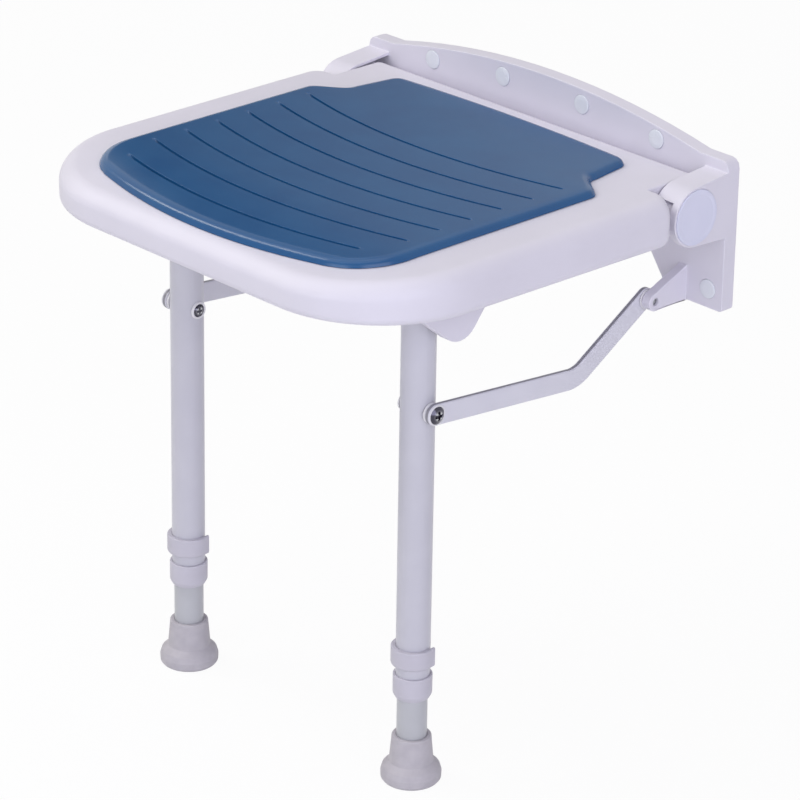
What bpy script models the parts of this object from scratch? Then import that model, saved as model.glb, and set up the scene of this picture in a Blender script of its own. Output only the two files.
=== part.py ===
"""Wall-mounted folding shower seat: wall bracket, padded seat, two drop legs and two link arms.

Metres, +Z up. The origin is on the back face of the wall plate, in the middle of its width and
at the height of the seat's hinge axis. +Y points into the wall, so the seat reaches along -Y.
"""
import math

import bmesh
import bpy
from mathutils import Matrix, Vector

for old in list(bpy.data.objects):
    bpy.data.objects.remove(old, do_unlink=True)

MM = 0.001

# Clearances
GAP = 0.3 * MM
SWING_GAP = 0.5 * MM

# Wall plate
PLATE_WIDTH = 427 * MM
PLATE_THICK = 14 * MM
PLATE_CROWN = 58.5 * MM
PLATE_SHOULDER = 38.5 * MM
PLATE_DROP = 93.5 * MM
PLATE_CORNER = 8 * MM
ARCH_SHOULDER = 31.5 * MM
CUTOUT_TOP = 40 * MM
PLATE_FOOT_TOP = 97.5 * MM
PLATE_FOOT_END = 59.5 * MM
CUTOUT_CORNER = 10 * MM
FOOT_CORNER = 3 * MM

# Moulded pockets in the back of the plate
PLATE_SKIN = 4 * MM
MIDDLE_RIB = 24 * MM
POCKET_WALL = 7 * MM
POCKET_TOP = 26 * MM
POCKET_CORNER = 4 * MM

# Wall screw holes and their caps
SCREW_HOLE_R = 3.5 * MM
SCREW_HEAD_R = 6.2 * MM
SCREW_HEAD_DEPTH = 7 * MM
INNER_SCREW_X = 46.9 * MM
INNER_SCREW_Z = 43.6 * MM
OUTER_SCREW_IN = 80.7 * MM
OUTER_SCREW_Z = 36.5 * MM
LOW_SCREW_IN = 16.3 * MM
LOW_SCREW_Z = -77 * MM
CAP_R = 8 * MM
CAP_SEAT = 1.2 * MM
CAP_EDGE = 1.5 * MM
CAP_DOME = 0.6 * MM
CAP_STEM = 4.5 * MM

# Hinge ears
HINGE_OUT = 50 * MM
EAR_WIDTH = 25.5 * MM
EAR_R = 25.8 * MM
EAR_TOP = 29.6 * MM
EAR_BOTTOM = 28 * MM
CHEEK_THICK = 7.5 * MM
HOOD_THICK = 3 * MM
HOOD_LIP = math.radians(37)

# Hinge pin, bush, knuckle and round cover cap
PIN_R = 5 * MM
PIN_HEAD_R = 8.5 * MM
PIN_HEAD = 2.6 * MM
BUSH_WALL = 2 * MM
KNUCKLE_WIDTH = 40 * MM
KNUCKLE_CLEAR = 1.3 * MM
KNUCKLE_END = 4 * MM
HINGE_CAP_R = 23.4 * MM
HINGE_CAP_THICK = 2.2 * MM
HINGE_CAP_PROUD = 0.8 * MM

# Seat shell
SEAT_OVERHANG = 4.5 * MM
SEAT_REACH = 416 * MM
SEAT_REAR = 16 * MM
SEAT_TOP = 24 * MM
SEAT_BOTTOM = -17.5 * MM
SEAT_CORNER = 105 * MM
SEAT_TOP_ROUND = 15.5 * MM
SEAT_LOW_ROUND = 11 * MM
SEAT_RIM = 13 * MM
TONGUE_ROUND = 2 * MM
RAIL_END = 80 * MM
RAIL_CORNER = 6 * MM
TONGUE_WALL = 10 * MM
SEAT_SKIN = 5 * MM
CAVITY_ROUND = 10 * MM
WATERFALL_RUN = 106 * MM
WATERFALL_DROP = 6 * MM
WATERFALL_STRIPS = 5
UNDERSIDE_RISE = 4.5 * MM

# Seat underframe, its lugs and its screws
FRAME_TOP = -9.3 * MM
FRAME_THICK = 4 * MM
LUG_THICK = 11 * MM
LUG_TIP_BACK = 18.5 * MM
LUG_TIP_DROP = 32.5 * MM
LUG_TIP_R = 20 * MM
LUG_FRONT_KNEE = (26 * MM, -3 * MM)
LUG_REAR_KNEE = (40.5 * MM, 4 * MM)
LUG_KNEE_R = 10 * MM
LUG_FRONT_ROOT = 46 * MM
LUG_REAR_ROOT = 62 * MM
POST_R = 6 * MM
POST_X = 60 * MM
POST_REAR = 90 * MM
POST_FRONT_IN = 66 * MM
SIDE_POST_IN = 33 * MM
SIDE_POST_OUT = 190 * MM
SCREW_R = 2 * MM
SCREW_LENGTH = 14 * MM
SCREW_CAP_R = 4 * MM
SCREW_CAP_THICK = 2.2 * MM

# Seat pad
PAD_SIDE_IN = 46 * MM
PAD_STEP_IN = 29.5 * MM
PAD_REAR = 46 * MM
PAD_FRONT_IN = 14.5 * MM
PAD_THICK = 6 * MM
PAD_CROWN = 0.8 * MM
PAD_EDGE_ROUND = 5.5 * MM
PAD_DRAW_IN = 0.8 * MM
PAD_REAR_CORNER = 14 * MM
PAD_FRONT_CORNER = 55 * MM
PAD_STEP_START = 98 * MM
PAD_STEP_LENGTH = 30 * MM
PAD_BOW = 32 * MM
PAD_REAR_BOW = -6 * MM
GROOVE_COUNT = 7
GROOVE_FIRST = 165 * MM
GROOVE_LAST_IN = 30.1 * MM
GROOVE_HALF_WIDTH = 1.6 * MM
GROOVE_DEPTH = 1.6 * MM

# Folding linkage: four pivots that make a parallelogram on each side
LINK_DROP = 86.5 * MM
LEG_SETBACK = 127 * MM
LEG_FOLD_GAP = 3.2 * MM
LINK_BEND_OUT = 129 * MM
LINK_BEND_DROP = 136 * MM
LINK_BEND_R = 30 * MM
LINK_WIDTH = 18 * MM
LINK_THICK = 5 * MM
LINK_BOLT_R = 3 * MM
LINK_WASHER_R = 8.5 * MM
LEG_WASHER_THICK = 2.2 * MM
WALL_WASHER_THICK = 1.3 * MM
GUSSET_THICK = 9 * MM
GUSSET_ROOT = 60 * MM
GUSSET_TIP_R = 8 * MM
RIVET_HEAD_R = 5.5 * MM
RIVET_HEAD = 1.8 * MM
RIVET_RECESS = 2.5 * MM
BOLT_HEAD_R = 7.4 * MM
BOLT_HEAD = 3.4 * MM
NUT_R = 5.6 * MM
NUT_LENGTH = 5 * MM
NUT_SKIN = 1.5 * MM

# Legs
FLOOR_DROP = 457 * MM
LEG_INSET = 77.5 * MM
TUBE_R = 14.3 * MM
TUBE_WALL = 1.3 * MM
TUBE_ABOVE_PIVOT = 9 * MM
TUBE_FOOT = 79 * MM
LEG_PIN_R = 4 * MM
LEG_PIN_HEAD_R = 7 * MM
LEG_PIN_HEAD = 3 * MM
SPACER_R = 8 * MM
SPACER_LENGTH = 5.6 * MM
LEG_PIN_SKIN = 3.5 * MM
PLUG_CAP = 2 * MM
PLUG_STEM = 18 * MM
COLLAR_WALL = 1.75 * MM
COLLAR_HEIGHT = 21.5 * MM
COLLAR_LIP = 2 * MM
COLLAR_EDGE = 1.2 * MM
CLIP_WALL = 3.9 * MM
CLIP_ARM_END = 2.1 * MM
CLIP_ARM = 9 * MM
CLIP_HEIGHT = 17 * MM
CLIP_ABOVE_COLLAR = 8.5 * MM
LOCK_PIN_R = 3 * MM

# Inner legs and feet
INNER_WALL = 1.2 * MM
INNER_LENGTH = 262 * MM
LOCK_HOLES = 4
LOCK_PITCH = 25 * MM
GUIDE_STEM = 10 * MM
FOOT_R = 25.4 * MM
FOOT_RIM_R = 16.4 * MM
FOOT_FLANGE = 20 * MM
FOOT_HEIGHT = 41.5 * MM
FOOT_SOLE = 6 * MM
FOOT_WASHER_THICK = 1.7 * MM

# Facets
FINE = 24
COARSE = 14
ARC_STEP = math.radians(15)
CORNER_STEP = math.radians(10)
SMALL_ROUND = 12 * MM
SMOOTH_UNDER = math.radians(35)
WELD = 1e-7

# Places that follow from the sizes
PLATE_HALF = PLATE_WIDTH / 2
ARCH_HALF = PLATE_HALF - ARCH_SHOULDER
CUTOUT_TOP_HALF = PLATE_HALF - PLATE_FOOT_TOP
CUTOUT_FOOT_HALF = PLATE_HALF - PLATE_FOOT_END
OUTER_SCREW_X = PLATE_HALF - OUTER_SCREW_IN
LOW_SCREW_X = PLATE_HALF - LOW_SCREW_IN
SEAT_HALF = PLATE_HALF + SEAT_OVERHANG
SEAT_WALL = SEAT_LOW_ROUND + SEAT_RIM
WATERFALL_START = SEAT_REACH - WATERFALL_RUN
PAD_HALF = SEAT_HALF - PAD_SIDE_IN
PAD_TONGUE_HALF = PAD_HALF - PAD_STEP_IN
PAD_FRONT = SEAT_REACH - PAD_FRONT_IN
GROOVE_PITCH = (PAD_FRONT - GROOVE_LAST_IN - GROOVE_FIRST) / (GROOVE_COUNT - 1)
LEG_OUT = SEAT_REACH - LEG_SETBACK
PIVOT_DROP = TUBE_R + LEG_FOLD_GAP - SEAT_BOTTOM
HINGE = (-HINGE_OUT, 0.0)
LINK_WALL_PIVOT = (-HINGE_OUT, -LINK_DROP)
LEG_PIVOT = (-LEG_OUT, -PIVOT_DROP)
LINK_LEG_PIVOT = (-LEG_OUT, -PIVOT_DROP - LINK_DROP)
FLOOR = -FLOOR_DROP
LEG_X = SEAT_HALF - LEG_INSET
EAR_IN = PLATE_HALF - EAR_WIDTH
CHEEK_IN = PLATE_HALF - CHEEK_THICK
TONGUE_HALF = EAR_IN - SWING_GAP
FRAME_BOTTOM = FRAME_TOP - FRAME_THICK
LEG_WASHER_IN = LEG_X + TUBE_R + GAP
LINK_IN = LEG_WASHER_IN + LEG_WASHER_THICK + GAP
LINK_OUT = LINK_IN + LINK_THICK
WALL_WASHER_IN = LINK_OUT + GAP
GUSSET_IN = WALL_WASHER_IN + WALL_WASHER_THICK + GAP
GUSSET_OUT = GUSSET_IN + GUSSET_THICK
LUG_OFFSET = TUBE_R + GAP + SPACER_LENGTH + GAP
TUBE_INNER_R = TUBE_R - TUBE_WALL
INNER_R = TUBE_INNER_R - GAP
INNER_BORE_R = INNER_R - INNER_WALL
COLLAR_FOOT = TUBE_FOOT - COLLAR_LIP - GAP
CLIP_FOOT = COLLAR_FOOT + COLLAR_HEIGHT + CLIP_ABOVE_COLLAR
INNER_FOOT = FOOT_SOLE + FOOT_WASHER_THICK + 2 * GAP
SCREW_PLACES = (
    (-OUTER_SCREW_X, OUTER_SCREW_Z),
    (-INNER_SCREW_X, INNER_SCREW_Z),
    (INNER_SCREW_X, INNER_SCREW_Z),
    (OUTER_SCREW_X, OUTER_SCREW_Z),
    (-LOW_SCREW_X, LOW_SCREW_Z),
    (LOW_SCREW_X, LOW_SCREW_Z),
)
POST_PLACES = (
    (POST_X, POST_REAR),
    (POST_X, SEAT_REACH - POST_FRONT_IN),
    (SEAT_HALF - SIDE_POST_IN, SIDE_POST_OUT),
)
SIDES = (("left", -1), ("right", 1))

# Finishes: colour, roughness, metallic
WHITE_PLASTIC = ((0.72, 0.70, 0.80), 0.38, 0.0)
CAP_PLASTIC = ((0.68, 0.74, 0.82), 0.32, 0.0)
BLUE_FOAM = ((0.055, 0.135, 0.27), 0.5, 0.0)
PAINTED_TUBE = ((0.74, 0.74, 0.80), 0.35, 0.0)
CHROME = ((0.75, 0.75, 0.77), 0.15, 1.0)
STEEL = ((0.55, 0.56, 0.58), 0.35, 1.0)
NYLON = ((0.80, 0.80, 0.80), 0.45, 0.0)
PALE_RUBBER = ((0.66, 0.65, 0.68), 0.6, 0.0)


# Modelling tools
def finish(name, look):
    """A material of the piece's own, with its colour, roughness and metallic value."""
    colour, roughness, metallic = look
    material = bpy.data.materials.new(name)
    material.use_nodes = True
    shader = material.node_tree.nodes["Principled BSDF"]
    shader.inputs["Base Color"].default_value = (*colour, 1.0)
    shader.inputs["Roughness"].default_value = roughness
    shader.inputs["Metallic"].default_value = metallic
    return material


def add(name, shape, look=None):
    """Turn a bmesh into an object with round faces shaded smooth."""
    bmesh.ops.recalc_face_normals(shape, faces=shape.faces)
    mesh = bpy.data.meshes.new(name)
    shape.to_mesh(mesh)
    shape.free()
    item = bpy.data.objects.new(name, mesh)
    bpy.context.scene.collection.objects.link(item)
    if look:
        mesh.materials.append(finish(name, look))
    smooth(item)
    return item


def smooth(item):
    """Shade round faces smooth and keep real edges sharp."""
    item.data.shade_smooth()
    item.data.set_sharp_from_angle(angle=SMOOTH_UNDER)


def combine(item, others, operation):
    """Cut others from item, or join them to it, with exact Booleans, and keep the result."""
    for other in others:
        step = item.modifiers.new(other.name, "BOOLEAN")
        step.operation = operation
        step.solver = "EXACT"
        step.object = other
    ready = item.evaluated_get(bpy.context.evaluated_depsgraph_get())
    mesh = bpy.data.meshes.new_from_object(ready)
    item.modifiers.clear()
    item.data = mesh
    smooth(item)
    for other in others:
        bpy.data.objects.remove(other, do_unlink=True)
    return item


TO_WORLD = {
    "x": lambda across, up, along: (along, across, up),
    "y": lambda across, up, along: (across, along, up),
    "z": lambda across, up, along: (across, up, along),
}


def prism(name, outline, axis, low, high, look=None):
    """An outline drawn square to one axis and extruded along it, from low to high."""
    shape = bmesh.new()
    world = TO_WORLD[axis]
    ring = [shape.verts.new(world(across, up, low)) for across, up in outline]
    face = shape.faces.new(ring)
    grown = bmesh.ops.extrude_face_region(shape, geom=[face])
    far_end = [part for part in grown["geom"] if isinstance(part, bmesh.types.BMVert)]
    bmesh.ops.translate(shape, verts=far_end, vec=Vector(world(0, 0, high - low)))
    return add(name, shape, look)


def turned(name, profile, segments, look=None):
    """A profile of (radius, height) points spun about Z. A profile off the axis closes on itself."""
    shape = bmesh.new()
    points = [shape.verts.new((radius, 0, height)) for radius, height in profile]
    edges = [shape.edges.new(pair) for pair in zip(points, points[1:])]
    if profile[0][0] > 0:
        edges.append(shape.edges.new((points[-1], points[0])))
    bmesh.ops.spin(shape, geom=points + edges, cent=(0, 0, 0), axis=(0, 0, 1),
                   angle=math.tau, steps=segments, use_merge=True, use_duplicate=False)
    bmesh.ops.remove_doubles(shape, verts=shape.verts, dist=WELD)
    flat = [pole for pole in shape.verts if pole.co.xy.length < WELD and is_flat(pole)]
    bmesh.ops.dissolve_verts(shape, verts=flat)
    return add(name, shape, look)


def is_flat(pole):
    """Whether the faces that meet at a pole all lie square to the axis."""
    return all(abs(edge.other_vert(pole).co.z - pole.co.z) < WELD for edge in pole.link_edges)


def rod(name, radius, low, high, segments, look=None):
    """A plain round bar along Z."""
    return turned(name, ((0, low), (radius, low), (radius, high), (0, high)), segments, look)


def sleeve(name, inner, outer, low, high, segments, look=None):
    """A plain round tube along Z."""
    return turned(name, ((inner, low), (outer, low), (outer, high), (inner, high)), segments, look)


def put(item, place, side=None):
    """Move a turned piece to its place, with its axis turned to point outwards on one side."""
    item.location = place
    if side:
        item.rotation_euler = (0, side * math.pi / 2, 0)
    bpy.context.view_layer.update()
    return item


def arc(centre, radius, start, end, step=ARC_STEP):
    """Points on a circle from one bearing to another, both included."""
    count = max(1, math.ceil(abs(end - start) / step - WELD))
    angles = [start + (end - start) * i / count for i in range(count + 1)]
    return [(centre[0] + radius * math.cos(a), centre[1] + radius * math.sin(a)) for a in angles]


def tangent_bearing(centre, radius, point, turn):
    """Bearing on a circle where a line from an outside point touches it, on one side."""
    across = point[0] - centre[0]
    up = point[1] - centre[1]
    return math.atan2(up, across) + turn * math.acos(radius / math.hypot(across, up))


def wrap(centre, radius, top, bottom):
    """An outline from a top point over the far side of a circle and back to a bottom point."""
    start = tangent_bearing(centre, radius, top, 1)
    end = math.tau + tangent_bearing(centre, radius, bottom, -1)
    return arc(centre, radius, start, end)


def rounded(corners, step=ARC_STEP):
    """An outline with each (x, y, radius) corner replaced by an arc of that radius."""
    outline = []
    for number, (x, y, radius) in enumerate(corners):
        here = Vector((x, y))
        before = (Vector(corners[number - 1][:2]) - here).normalized()
        after = (Vector(corners[(number + 1) % len(corners)][:2]) - here).normalized()
        if not radius:
            outline.append((x, y))
            continue
        half = before.angle(after) / 2
        centre = here + (before + after).normalized() * (radius / math.sin(half))
        spoke = here + before * (radius / math.tan(half)) - centre
        sweep = math.copysign(math.pi - 2 * half, -before.cross(after))
        facet = step if radius > SMALL_ROUND else 2 * ARC_STEP
        count = math.ceil(abs(sweep) / facet - WELD)
        for i in range(count + 1):
            outline.append(tuple(centre + Matrix.Rotation(sweep * i / count, 2) @ spoke))
    return outline


def box_outline(low, high, radius):
    """A rectangle with rounded corners."""
    return rounded((
        (low[0], low[1], radius),
        (high[0], low[1], radius),
        (high[0], high[1], radius),
        (low[0], high[1], radius),
    ))


def skin(name, rings, look=None):
    """A solid between outlines of equal length, each given with its height, from low to high."""
    shape = bmesh.new()
    loops = [[shape.verts.new((x, y, z)) for x, y in outline] for outline, z in rings]
    for lower, upper in zip(loops, loops[1:]):
        for i in range(len(lower)):
            shape.faces.new((lower[i - 1], lower[i], upper[i], upper[i - 1]))
    shape.faces.new(loops[0])
    shape.faces.new(loops[-1])
    return add(name, shape, look)


# Wall bracket: plate, ears with hoods, and gussets
def plate_outline():
    """Front view of the plate: arched top with flat shoulders, and two feet beside the cut-out."""
    rise = PLATE_CROWN - PLATE_SHOULDER
    radius = (ARCH_HALF ** 2 + rise ** 2) / (2 * rise)
    reach = math.asin(ARCH_HALF / radius)
    middle = (0, PLATE_CROWN - radius)
    upright = math.pi / 2
    arch = arc(middle, radius, upright - reach, upright + reach, reach / 8)
    return rounded((
        (CUTOUT_FOOT_HALF, -PLATE_DROP, FOOT_CORNER),
        (PLATE_HALF, -PLATE_DROP, FOOT_CORNER),
        (PLATE_HALF, PLATE_SHOULDER, PLATE_CORNER),
        *((x, z, 0) for x, z in arch),
        (-PLATE_HALF, PLATE_SHOULDER, PLATE_CORNER),
        (-PLATE_HALF, -PLATE_DROP, FOOT_CORNER),
        (-CUTOUT_FOOT_HALF, -PLATE_DROP, FOOT_CORNER),
        (-CUTOUT_TOP_HALF, -CUTOUT_TOP, CUTOUT_CORNER),
        (CUTOUT_TOP_HALF, -CUTOUT_TOP, CUTOUT_CORNER),
    ))


def ear_outlines():
    """Side views of an ear: the solid cheek, and the thin hood that arches over the knuckle."""
    inside_plate = -PLATE_THICK / 2
    top = (inside_plate, EAR_TOP)
    bottom = (inside_plate, -EAR_BOTTOM)
    lip = math.pi - HOOD_LIP
    end = math.tau + tangent_bearing(HINGE, EAR_R, bottom, -1)
    outer = arc(HINGE, EAR_R, tangent_bearing(HINGE, EAR_R, top, 1), lip)
    below_lip = arc(HINGE, EAR_R, lip, end)[1:]
    inner_r = EAR_R - HOOD_THICK
    inner_top = (inside_plate, EAR_TOP - HOOD_THICK)
    inner = arc(HINGE, inner_r, lip, tangent_bearing(HINGE, inner_r, inner_top, 1))
    return [top, *outer, *below_lip, bottom], [top, *outer, *inner, inner_top]


def between(side, near, far):
    """The two X limits of a piece on one side, in rising order."""
    return sorted((side * near, side * far))


def back_pockets():
    """Hollows moulded into the back of the plate, between its ribs and screw bosses."""
    floor = POCKET_WALL - CUTOUT_TOP
    foot = POCKET_WALL - PLATE_DROP
    split = CUTOUT_TOP_HALF
    leg_edge = CUTOUT_FOOT_HALF + POCKET_WALL
    outer_edge = PLATE_HALF - POCKET_WALL
    boss_edge = LOW_SCREW_X - SCREW_HEAD_R - POCKET_WALL
    spans = (
        ((MIDDLE_RIB / 2, floor), (split - POCKET_WALL / 2, POCKET_TOP)),
        ((split + POCKET_WALL / 2, floor), (outer_edge, POCKET_TOP)),
        ((leg_edge, foot), (boss_edge, floor - POCKET_WALL)),
    )
    cutters = []
    for _, side in SIDES:
        for low, high in spans:
            x_low, x_high = between(side, low[0], high[0])
            outline = box_outline((x_low, low[1]), (x_high, high[1]), POCKET_CORNER)
            cutters.append(prism("pocket", outline, "y", PLATE_SKIN - PLATE_THICK, PLATE_THICK))
    return cutters


def wall_screw_hole():
    """A stepped cutter for one wall screw: shank, head and the shallow seat of its cap."""
    head_floor = PLATE_THICK - SCREW_HEAD_DEPTH
    seat_floor = PLATE_THICK - CAP_SEAT
    outside = PLATE_THICK * 2
    return turned("screw_hole", (
        (0, -PLATE_THICK),
        (SCREW_HOLE_R, -PLATE_THICK),
        (SCREW_HOLE_R, head_floor),
        (SCREW_HEAD_R, head_floor),
        (SCREW_HEAD_R, seat_floor),
        (CAP_R + GAP, seat_floor),
        (CAP_R + GAP, outside),
        (0, outside),
    ), COARSE)


def ear_bore():
    """A stepped cutter for the hinge pin, its head and the round cover cap, from the outside in."""
    cap_floor = CHEEK_THICK - HINGE_CAP_THICK + HINGE_CAP_PROUD - GAP
    head_floor = cap_floor - PIN_HEAD - 2 * GAP
    return turned("ear_bore", (
        (0, -CHEEK_THICK),
        (PIN_R + GAP, -CHEEK_THICK),
        (PIN_R + GAP, head_floor),
        (PIN_HEAD_R + GAP, head_floor),
        (PIN_HEAD_R + GAP, cap_floor),
        (HINGE_CAP_R + GAP, cap_floor),
        (HINGE_CAP_R + GAP, CHEEK_THICK * 2),
        (0, CHEEK_THICK * 2),
    ), FINE)


def make_bracket():
    bracket = prism("wall_bracket", plate_outline(), "y", -PLATE_THICK, 0, WHITE_PLASTIC)
    cheek, hood = ear_outlines()
    root = -PLATE_THICK / 2
    gusset_top = (root, -GUSSET_ROOT)
    gusset_foot = (root, -PLATE_DROP)
    tip = wrap(LINK_WALL_PIVOT, GUSSET_TIP_R, gusset_top, gusset_foot)
    gusset = [gusset_top, *tip, gusset_foot]
    joined = []
    cuts = back_pockets()
    for _, side in SIDES:
        joined.append(prism("cheek", cheek, "x", *between(side, CHEEK_IN, PLATE_HALF)))
        hood_end = CHEEK_IN + CHEEK_THICK / 2
        joined.append(prism("hood", hood, "x", *between(side, EAR_IN, hood_end)))
        joined.append(prism("gusset", gusset, "x", *between(side, GUSSET_IN, GUSSET_OUT)))
        cuts.append(put(ear_bore(), (side * CHEEK_IN, *HINGE), side))
        rivet_hole = rod("rivet_hole", LINK_BOLT_R + GAP, -GUSSET_THICK, 2 * GUSSET_THICK, COARSE)
        cuts.append(put(rivet_hole, (side * GUSSET_IN, *LINK_WALL_PIVOT), side))
    for x, z in SCREW_PLACES:
        hole = wall_screw_hole()
        hole.rotation_euler = (math.pi / 2, 0, 0)
        cuts.append(put(hole, (x, 0, z)))
    combine(bracket, joined, "UNION")
    combine(bracket, cuts, "DIFFERENCE")


def make_screw_caps():
    """Snap-in domed covers over the wall screws."""
    seat = PLATE_THICK - CAP_SEAT + GAP
    stem_r = SCREW_HEAD_R - GAP
    for number, (x, z) in enumerate(SCREW_PLACES, 1):
        cap = turned(f"screw_cap_{number}", (
            (0, seat - CAP_STEM),
            (stem_r, seat - CAP_STEM),
            (stem_r, seat),
            (CAP_R, seat),
            (CAP_R, seat + CAP_EDGE),
            (CAP_R * 0.6, seat + CAP_EDGE + CAP_DOME * 0.75),
            (0, seat + CAP_EDGE + CAP_DOME),
        ), COARSE, CAP_PLASTIC)
        cap.rotation_euler = (math.pi / 2, 0, 0)
        put(cap, (x, 0, z))


def knuckle_span():
    """Distances of the knuckle's inner and outer end from the middle of the seat."""
    outer = CHEEK_IN - SWING_GAP
    return outer - KNUCKLE_WIDTH, outer


def make_hinge(label, side):
    """The pin that carries the seat, its round cover cap, and the bush in the knuckle."""
    cap_back = PLATE_HALF - HINGE_CAP_THICK + HINGE_CAP_PROUD
    head_back = cap_back - GAP - PIN_HEAD
    bore_end = knuckle_span()[0] + KNUCKLE_END
    pin_end = bore_end + GAP
    pin = turned(f"hinge_pin_{label}", (
        (0, pin_end),
        (PIN_R, pin_end),
        (PIN_R, head_back),
        (PIN_HEAD_R, head_back),
        (PIN_HEAD_R, head_back + PIN_HEAD),
        (0, head_back + PIN_HEAD),
    ), COARSE, STEEL)
    put(pin, (0, *HINGE), side)
    dome = HINGE_CAP_PROUD / 2
    cap = turned(f"hinge_cap_{label}", (
        (0, cap_back),
        (HINGE_CAP_R, cap_back),
        (HINGE_CAP_R, PLATE_HALF),
        (HINGE_CAP_R - dome, PLATE_HALF + dome),
        (0, PLATE_HALF + HINGE_CAP_PROUD),
    ), FINE, WHITE_PLASTIC)
    put(cap, (0, *HINGE), side)
    inner = PIN_R + GAP
    bush = sleeve(f"hinge_bush_{label}", inner, inner + BUSH_WALL, bore_end + GAP,
                  knuckle_span()[1], COARSE, NYLON)
    put(bush, (0, *HINGE), side)
    return bush


# Seat: shell with a rear tongue between the ears, underframe with lugs, and pad
def edge_inset(z, low_round, top_round):
    """How far a rounded edge draws the seat's outline in at a height."""
    below = SEAT_BOTTOM + low_round - z
    above = z - SEAT_TOP + top_round
    if below > 0:
        return low_round - math.sqrt(max(0.0, low_round ** 2 - below ** 2))
    if above > 0:
        return top_round - math.sqrt(max(0.0, top_round ** 2 - above ** 2))
    return 0.0


def seat_plan(side_in, tongue_in, rear_in):
    """Top view of the seat, drawn in by a distance at the sides, at the tongue and at the rear."""
    half = SEAT_HALF - side_in
    front = side_in - SEAT_REACH
    tongue = TONGUE_HALF - tongue_in
    rail_end = -RAIL_END - tongue_in
    rear = -SEAT_REAR - rear_in
    corner = max(SEAT_CORNER - side_in, RAIL_CORNER)
    right = (
        (half, front, corner),
        (half, rail_end, RAIL_CORNER),
        (tongue, rail_end, TONGUE_ROUND),
        (tongue, rear, TONGUE_ROUND),
    )
    left = tuple((-x, y, radius) for x, y, radius in reversed(right))
    return rounded(right + left, CORNER_STEP)


def shell_rings():
    """Outlines of the shell from its lower rim to its top, following the rounded edges."""
    low_angles = [math.radians(a) for a in (0, 35, 65, 90)]
    top_angles = [math.radians(a) for a in (0, 20, 40, 60, 75, 90)]
    heights = [SEAT_BOTTOM + SEAT_LOW_ROUND * (1 - math.cos(a)) for a in low_angles]
    heights += [SEAT_TOP - SEAT_TOP_ROUND * (1 - math.sin(a)) for a in top_angles]
    rings = []
    for z in heights:
        side_in = edge_inset(z, SEAT_LOW_ROUND, SEAT_TOP_ROUND)
        tongue_in = edge_inset(z, TONGUE_ROUND, TONGUE_ROUND)
        rings.append((seat_plan(side_in, tongue_in, side_in), z))
    return rings


def cavity_rings():
    """Outlines of the hollow under the shell, from below the rim up to the skin."""
    roof = SEAT_TOP - SEAT_SKIN
    rings = [(seat_plan(SEAT_WALL, TONGUE_WALL, SEAT_WALL), SEAT_BOTTOM - SEAT_WALL)]
    for angle in (0, 45, 90):
        turn = math.radians(angle)
        more = CAVITY_ROUND * (1 - math.cos(turn))
        height = roof - CAVITY_ROUND * (1 - math.sin(turn))
        plan = seat_plan(SEAT_WALL + more, TONGUE_WALL + more, SEAT_WALL + more)
        rings.append((plan, height))
    return rings


def waterfall(y):
    """How far the seat's top falls away at a distance from the wall, as a parabola."""
    past = max(0.0, -y - WATERFALL_START)
    return WATERFALL_DROP * (past / WATERFALL_RUN) ** 2


def underside_rise(y):
    """How far the shell's lower rim has risen at a distance from the wall, evenly from rear to front."""
    past = (-y - RAIL_END) / (SEAT_REACH - RAIL_END)
    return UNDERSIDE_RISE * min(1.0, max(0.0, past))


def bend_front(item):
    """Split the shell across its front, lower its top along the waterfall curve and raise its rim."""
    shape = bmesh.new()
    shape.from_mesh(item.data)
    for i in range(WATERFALL_STRIPS):
        y = -WATERFALL_START - WATERFALL_RUN * i / WATERFALL_STRIPS
        everything = shape.verts[:] + shape.edges[:] + shape.faces[:]
        bmesh.ops.bisect_plane(shape, geom=everything, dist=WELD,
                               plane_co=(0, y, 0), plane_no=(0, 1, 0))
    for point in shape.verts:
        share = min(1.0, max(0.0, point.co.z / (SEAT_TOP - SEAT_SKIN)))
        low_share = min(1.0, max(0.0, point.co.z / SEAT_BOTTOM))
        point.co.z += low_share * underside_rise(point.co.y) - share * waterfall(point.co.y)
    shape.to_mesh(item.data)
    shape.free()
    smooth(item)


def post_places():
    """Where the underframe is screwed to the shell."""
    return [(side * x, -y) for x, y in POST_PLACES for _, side in SIDES]


def make_shell():
    shell = skin("seat_shell", shell_rings(), WHITE_PLASTIC)
    combine(shell, [skin("hollow", cavity_rings())], "DIFFERENCE")
    joined = []
    cuts = []
    knuckle_in, knuckle_out = knuckle_span()
    knuckle_r = EAR_R - HOOD_THICK - KNUCKLE_CLEAR
    bore_r = PIN_R + GAP + BUSH_WALL + GAP
    for _, side in SIDES:
        knuckle = rod("knuckle", knuckle_r, knuckle_in, knuckle_out, FINE)
        joined.append(put(knuckle, (0, *HINGE), side))
        bore = rod("bore", bore_r, knuckle_in + KNUCKLE_END, knuckle_out + KNUCKLE_END, COARSE)
        cuts.append(put(bore, (0, *HINGE), side))
    post_foot = FRAME_TOP + GAP
    pilot_top = FRAME_BOTTOM + SCREW_LENGTH + GAP
    for x, y in post_places():
        post = rod("post", POST_R, post_foot, SEAT_TOP - SEAT_SKIN / 2, COARSE)
        joined.append(put(post, (x, y, 0)))
        pilot = rod("pilot", SCREW_R + GAP, SEAT_BOTTOM, pilot_top, COARSE)
        cuts.append(put(pilot, (x, y, 0)))
    combine(shell, joined, "UNION")
    combine(shell, cuts, "DIFFERENCE")
    bend_front(shell)
    return shell


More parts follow.
